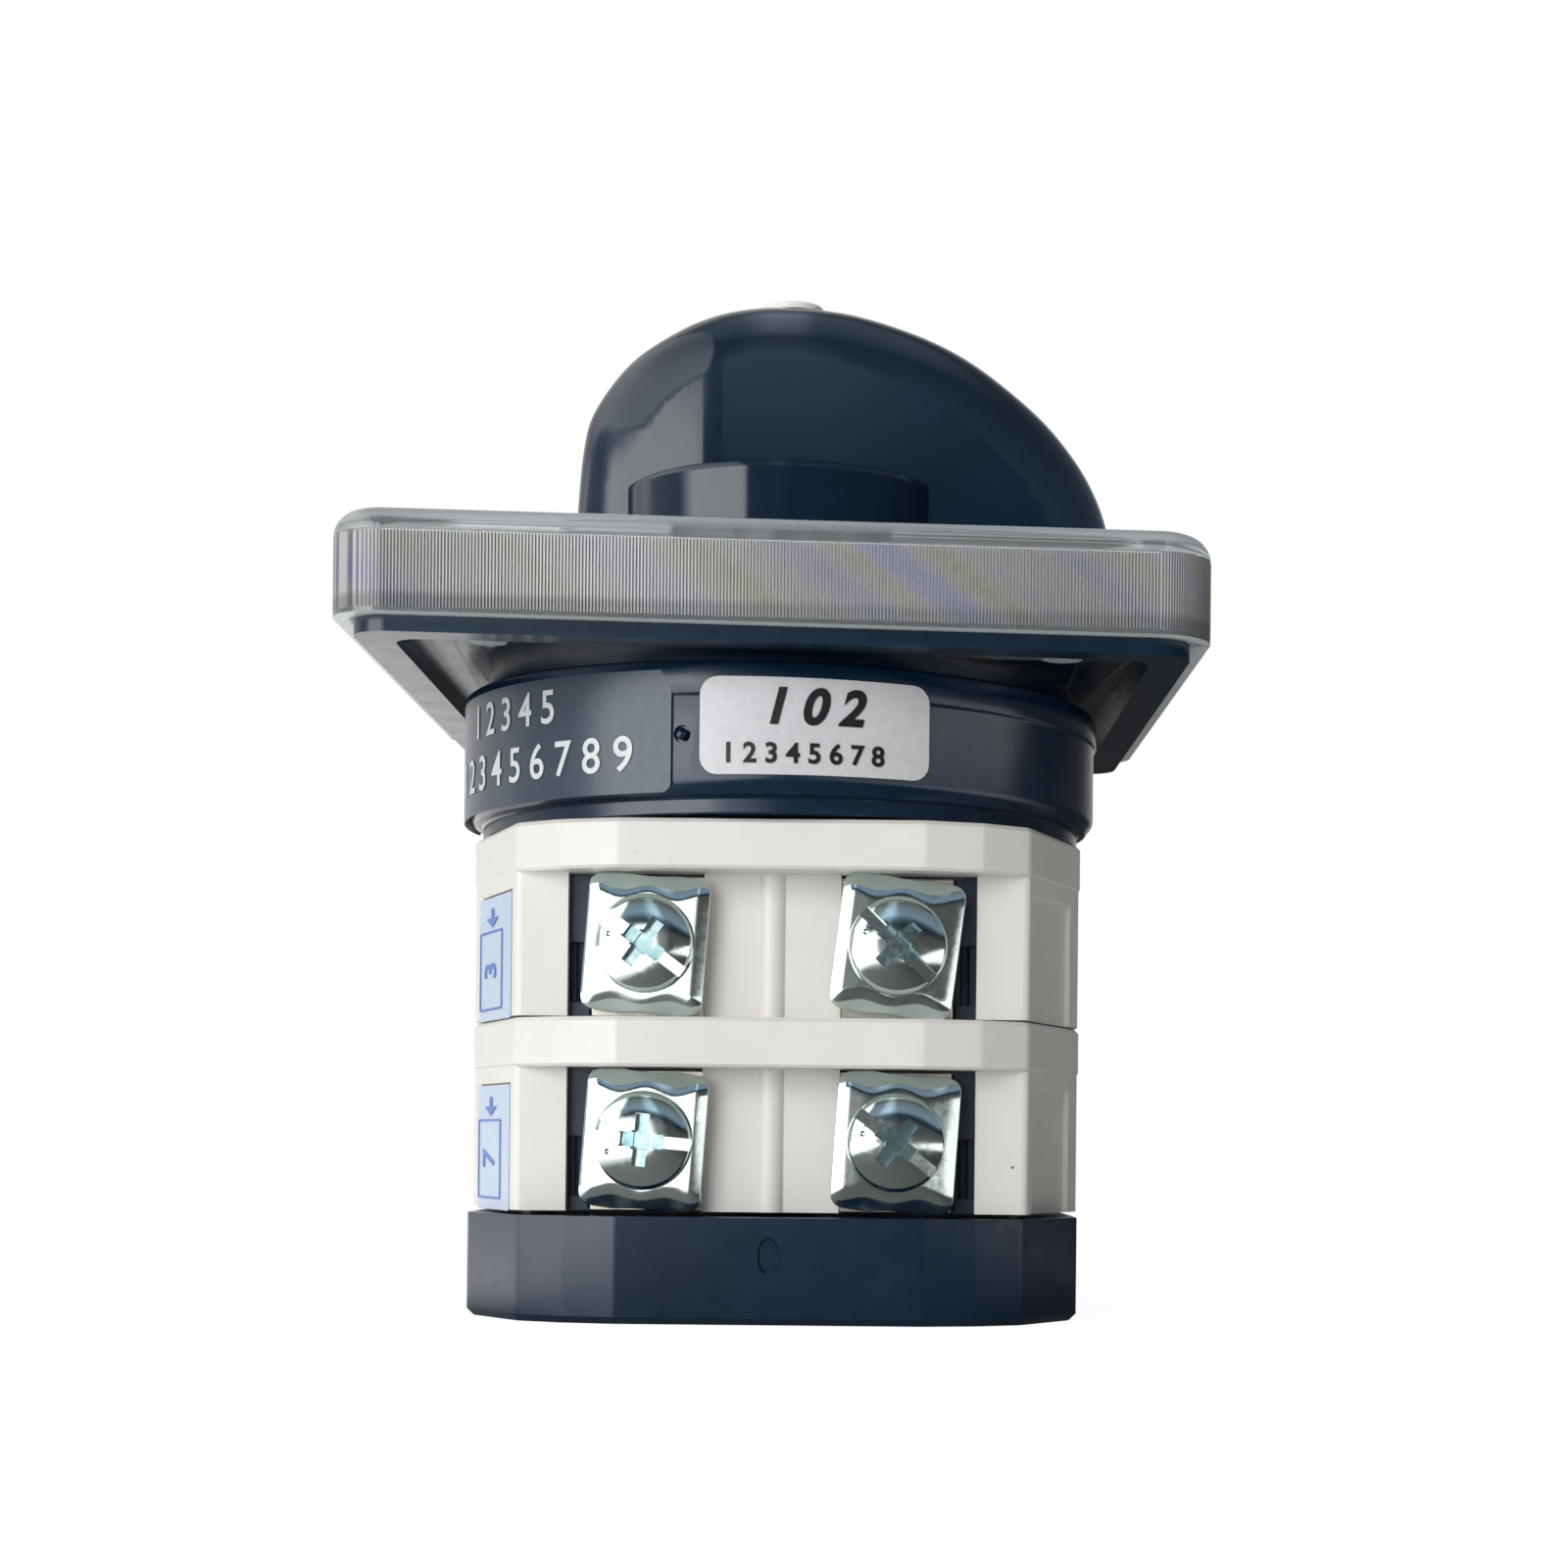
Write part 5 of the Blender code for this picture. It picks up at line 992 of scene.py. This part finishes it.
def make_world():
    """White to the camera and through glass. Mirror-like surfaces see a painted room instead: tall panels
    left of the camera, a dim bluish ceiling and a pale backdrop behind the object. Matt surfaces get a
    soft light from the left."""
    world = bpy.data.worlds.new("studio")
    bpy.context.scene.world = world
    world.use_nodes = True
    tree = world.node_tree
    tree.nodes.clear()
    multiply = {"data_type": "RGBA", "blend_type": "MULTIPLY"}
    add = {"data_type": "RGBA", "blend_type": "ADD"}
    path = add_node(tree, "ShaderNodeLightPath")
    way = add_node(tree, "ShaderNodeTexCoord").outputs["Generated"]
    axes = add_node(tree, "ShaderNodeSeparateXYZ", {"Vector": way})
    sideways = add_node(tree, "ShaderNodeMapRange", {
        "Value": axes.outputs["X"], "From Min": -1.0, "From Max": 1.0}).outputs["Result"]
    height = add_node(tree, "ShaderNodeMapRange", {
        "Value": axes.outputs["Z"], "From Min": -1.0, "From Max": 1.0}).outputs["Result"]

    # The panels left of the camera: a narrow one, and low down a wider one with a dim right-hand part
    narrow = add_node(tree, "ShaderNodeValToRGB", {"Fac": sideways}, stops=[
        (0.0, grey(0.08)), (0.03, grey(0.08)), (0.06, grey(0.95)), (0.285, grey(0.95)),
        (0.305, grey(0.0)), (1.0, grey(0.0))])
    wide = add_node(tree, "ShaderNodeValToRGB", {"Fac": sideways}, stops=[
        (0.0, grey(0.08)), (0.03, grey(0.08)), (0.06, grey(1.0)), (0.3, grey(1.0)), (0.33, grey(0.34)),
        (0.44, grey(0.3)), (0.46, grey(0.0)), (1.0, grey(0.0))])
    low = add_node(tree, "ShaderNodeValToRGB", {"Fac": height}, stops=[
        (0.0, grey(1.0)), (0.585, grey(1.0)), (0.6, grey(0.0)), (1.0, grey(0.0))])
    panel = add_node(tree, "ShaderNodeMix", {
        SHARE: low.outputs["Color"], FIRST: narrow.outputs["Color"], SECOND: wide.outputs["Color"]},
        COLOURS)
    window = add_node(tree, "ShaderNodeValToRGB", {"Fac": height}, stops=[
        (0.0, grey(0.0)), (0.41, grey(0.0)), (0.44, grey(1.0)), (0.645, grey(1.0)), (0.67, grey(0.12)),
        (0.7, grey(0.4)), (0.85, grey(0.3)), (1.0, grey(0.0))])
    glare = add_node(tree, "ShaderNodeMath", {
        0: panel.outputs[MIXED], 1: window.outputs["Color"]}, {"operation": "MULTIPLY"})
    panels = add_node(tree, "ShaderNodeMath", {
        0: glare.outputs["Value"], 1: PANEL_STRENGTH}, {"operation": "MULTIPLY"})

    # The walls and the ceiling, by height, and dimmer away from the room's middle
    ceiling = add_node(tree, "ShaderNodeValToRGB", {"Fac": height}, stops=[
        (0.0, grey(0.1)), (0.45, grey(0.28)), (0.57, grey(0.24)), (0.605, (0.03, 0.05, 0.08, 1.0)),
        (0.63, (0.1, 0.15, 0.2, 1.0)), (0.67, (0.6, 0.82, 1.05, 1.0)), (0.8, (0.5, 0.6, 0.7, 1.0)),
        (0.92, grey(0.3)), (0.97, (1.0, 1.2, 1.4, 1.0)), (1.0, (1.2, 1.4, 1.6, 1.0))])
    dimmer = add_node(tree, "ShaderNodeValToRGB", {"Fac": sideways}, stops=[
        (0.0, grey(0.4)), (0.42, grey(0.4)), (0.465, grey(1.0)), (0.495, grey(1.0)), (0.53, grey(0.35)),
        (1.0, grey(0.35))])
    dimmed = add_node(tree, "ShaderNodeMix", {
        SHARE: 1.0, FIRST: ceiling.outputs["Color"], SECOND: dimmer.outputs["Color"]}, multiply)
    front = add_node(tree, "ShaderNodeMix", {
        SHARE: 1.0, FIRST: dimmed.outputs[MIXED], SECOND: panels.outputs["Value"]}, add)

    # The backdrop behind the object, turned a little to the left
    turned = add_node(tree, "ShaderNodeMath", {
        0: axes.outputs["X"], 1: -0.5, 2: axes.outputs["Y"]}, {"operation": "MULTIPLY_ADD"})
    behind = add_node(tree, "ShaderNodeMapRange", {
        "Value": turned.outputs["Value"], "From Min": 0.45, "From Max": 0.95},
        {"interpolation_type": "SMOOTHSTEP"})
    mirror = add_node(tree, "ShaderNodeMix", {
        SHARE: behind.outputs["Result"], FIRST: front.outputs[MIXED], SECOND: grey(BACKDROP_GREY)}, COLOURS)

    # What each kind of ray meets
    soft = add_node(tree, "ShaderNodeValToRGB", {"Fac": sideways}, stops=[
        (0.0, WARM_WHITE), (0.42, WARM_WHITE), (0.58, grey(0.12)), (1.0, grey(0.1))])
    softer = add_node(tree, "ShaderNodeMix", {
        SHARE: 1.0, FIRST: soft.outputs["Color"], SECOND: grey(SOFT_LIGHT)}, multiply)
    ambient = add_node(tree, "ShaderNodeMix", {
        SHARE: path.outputs["Is Glossy Ray"], FIRST: softer.outputs[MIXED], SECOND: mirror.outputs[MIXED]},
        COLOURS)
    seen = add_node(tree, "ShaderNodeMath", {
        0: path.outputs["Is Camera Ray"], 1: path.outputs["Is Transmission Ray"]}, {"operation": "MAXIMUM"})
    colour = add_node(tree, "ShaderNodeMix", {
        SHARE: seen.outputs["Value"], FIRST: ambient.outputs[MIXED], SECOND: grey(1.0)}, COLOURS)
    background = add_node(tree, "ShaderNodeBackground", {"Strength": 1.0, "Color": colour.outputs[MIXED]})
    add_node(tree, "ShaderNodeOutputWorld", {"Surface": background.outputs["Background"]})


def make_floor():
    """A white paper floor that keeps the contact shadow. In mirror-like surfaces it is bright at the left,
    dark in the middle and dimmer behind the object than in front of it."""
    bm = bmesh.new()
    bmesh.ops.create_grid(bm, x_segments=1, y_segments=1, size=FLOOR_HALF)
    material, tree, shader = new_material("white_paper_floor", {
        "Base Color": linear("#f4f4f2"), "Roughness": 0.9})
    path = add_node(tree, "ShaderNodeLightPath")
    seen = add_node(tree, "ShaderNodeMath", {
        0: path.outputs["Is Camera Ray"], 1: path.outputs["Is Transmission Ray"]}, {"operation": "MAXIMUM"})
    share = add_node(tree, "ShaderNodeMath", {
        0: seen.outputs["Value"], 1: FLOOR_GLOW_SHARE}, {"operation": "MULTIPLY"})
    glow = add_node(tree, "ShaderNodeEmission", {"Color": grey(1.0), "Strength": FLOOR_GLOW})
    white = add_node(tree, "ShaderNodeMixShader", {
        0: share.outputs["Value"], 1: shader.outputs["BSDF"], 2: glow.outputs["Emission"]})
    place = add_node(tree, "ShaderNodeTexCoord").outputs["Object"]
    axes = add_node(tree, "ShaderNodeSeparateXYZ", {"Vector": place})
    sideways = add_node(tree, "ShaderNodeMapRange", {
        "Value": axes.outputs["X"], "From Min": -0.1, "From Max": 0.1})
    near = add_node(tree, "ShaderNodeValToRGB", {"Fac": sideways.outputs["Result"]}, stops=[
        (0.0, grey(1.0)), (0.2, grey(1.0)), (0.36, grey(0.06)), (0.7, grey(0.015)), (0.88, grey(0.03)),
        (1.0, grey(0.4))])
    far = add_node(tree, "ShaderNodeValToRGB", {"Fac": sideways.outputs["Result"]}, stops=[
        (0.0, grey(0.45)), (0.14, grey(0.26)), (0.6, grey(0.012))])
    depth = add_node(tree, "ShaderNodeMapRange", {
        "Value": axes.outputs["Y"], "From Min": -0.03, "From Max": 0.05})
    tone = add_node(tree, "ShaderNodeMix", {
        SHARE: depth.outputs["Result"], FIRST: near.outputs["Color"], SECOND: far.outputs["Color"]},
        COLOURS)
    shade = add_node(tree, "ShaderNodeEmission", {"Strength": FLOOR_MIRRORED, "Color": tone.outputs[MIXED]})
    whole = add_node(tree, "ShaderNodeMixShader", {
        0: path.outputs["Is Glossy Ray"], 1: white.outputs["Shader"], 2: shade.outputs["Emission"]})
    tree.links.new(whole.outputs["Shader"], tree.nodes["Material Output"].inputs["Surface"])
    floor = link(bpy.data.objects.new("floor", finished_mesh("floor", bm, [material])))
    floor.location = (0.0, 0.0, -FLOOR_DROP * MM)


def soft_panel(name, at, size, power):
    """A wide soft light that mirror-like surfaces don't show, as they show the painted room."""
    light = bpy.data.lights.new(name, "AREA")
    light.shape = "RECTANGLE"
    light.size, light.size_y = size
    light.energy = power
    lamp = link(bpy.data.objects.new(name, light))
    lamp.location = at
    aim = Vector((0.0, 0.0, 0.035)) - Vector(at)
    lamp.rotation_euler = aim.to_track_quat("-Z", "Y").to_euler()
    lamp.visible_glossy = False


def make_lights():
    soft_panel("front_panel", (-0.24, -0.5, 0.16), (0.35, 0.4), 1.9)
    soft_panel("top_panel", (-0.15, -0.15, 0.5), (0.4, 0.4), 0.3)


# Camera, solved from the photograph: pixels are in its frame, the place is in millimetres
IMAGE_SIDE = 1600.0
FOCAL_PIXELS = 2675.66
AXIS_PIXEL_X = 877.0
AXIS_PIXEL_Y = 1166.0
SENSOR_WIDTH = 36.0
CAMERA_PLACE = (5.94, -205.68, 12.72)
CAMERA_YAW = math.radians(0.126)
CAMERA_PITCH = math.radians(0.054)
CAMERA_ROLL = math.radians(0.564)


def make_camera():
    """The photograph's camera: near, level, at the lower stage's height, cropped from a wider frame."""
    data = bpy.data.cameras.new("camera")
    data.sensor_width = SENSOR_WIDTH
    data.lens = FOCAL_PIXELS * SENSOR_WIDTH / IMAGE_SIDE
    data.shift_x = -(AXIS_PIXEL_X - IMAGE_SIDE / 2) / IMAGE_SIDE
    data.shift_y = (AXIS_PIXEL_Y - IMAGE_SIDE / 2) / IMAGE_SIDE
    data.clip_start = 0.01
    forward = Vector((math.sin(CAMERA_YAW) * math.cos(CAMERA_PITCH),
                      math.cos(CAMERA_YAW) * math.cos(CAMERA_PITCH), math.sin(CAMERA_PITCH)))
    level = Vector((math.cos(CAMERA_YAW), -math.sin(CAMERA_YAW), 0.0))
    upright = level.cross(forward)
    right = level * math.cos(CAMERA_ROLL) + upright * math.sin(CAMERA_ROLL)
    up = upright * math.cos(CAMERA_ROLL) - level * math.sin(CAMERA_ROLL)
    turn = Matrix((right, up, -forward)).transposed()
    camera = link(bpy.data.objects.new("camera", data))
    camera.matrix_world = Matrix.Translation(Vector(CAMERA_PLACE) * MM) @ turn.to_4x4()
    bpy.context.scene.camera = camera


make_camera()
make_world()
make_floor()
make_lights()
dress_inner_nodes()
make_contact_springs()
make_bodies()
make_housing()
make_knob()
make_cover()
make_housing_labels()
make_terminal_labels()
make_legend_print()
make_terminals()

bpy.context.scene.view_settings.view_transform = "Standard"
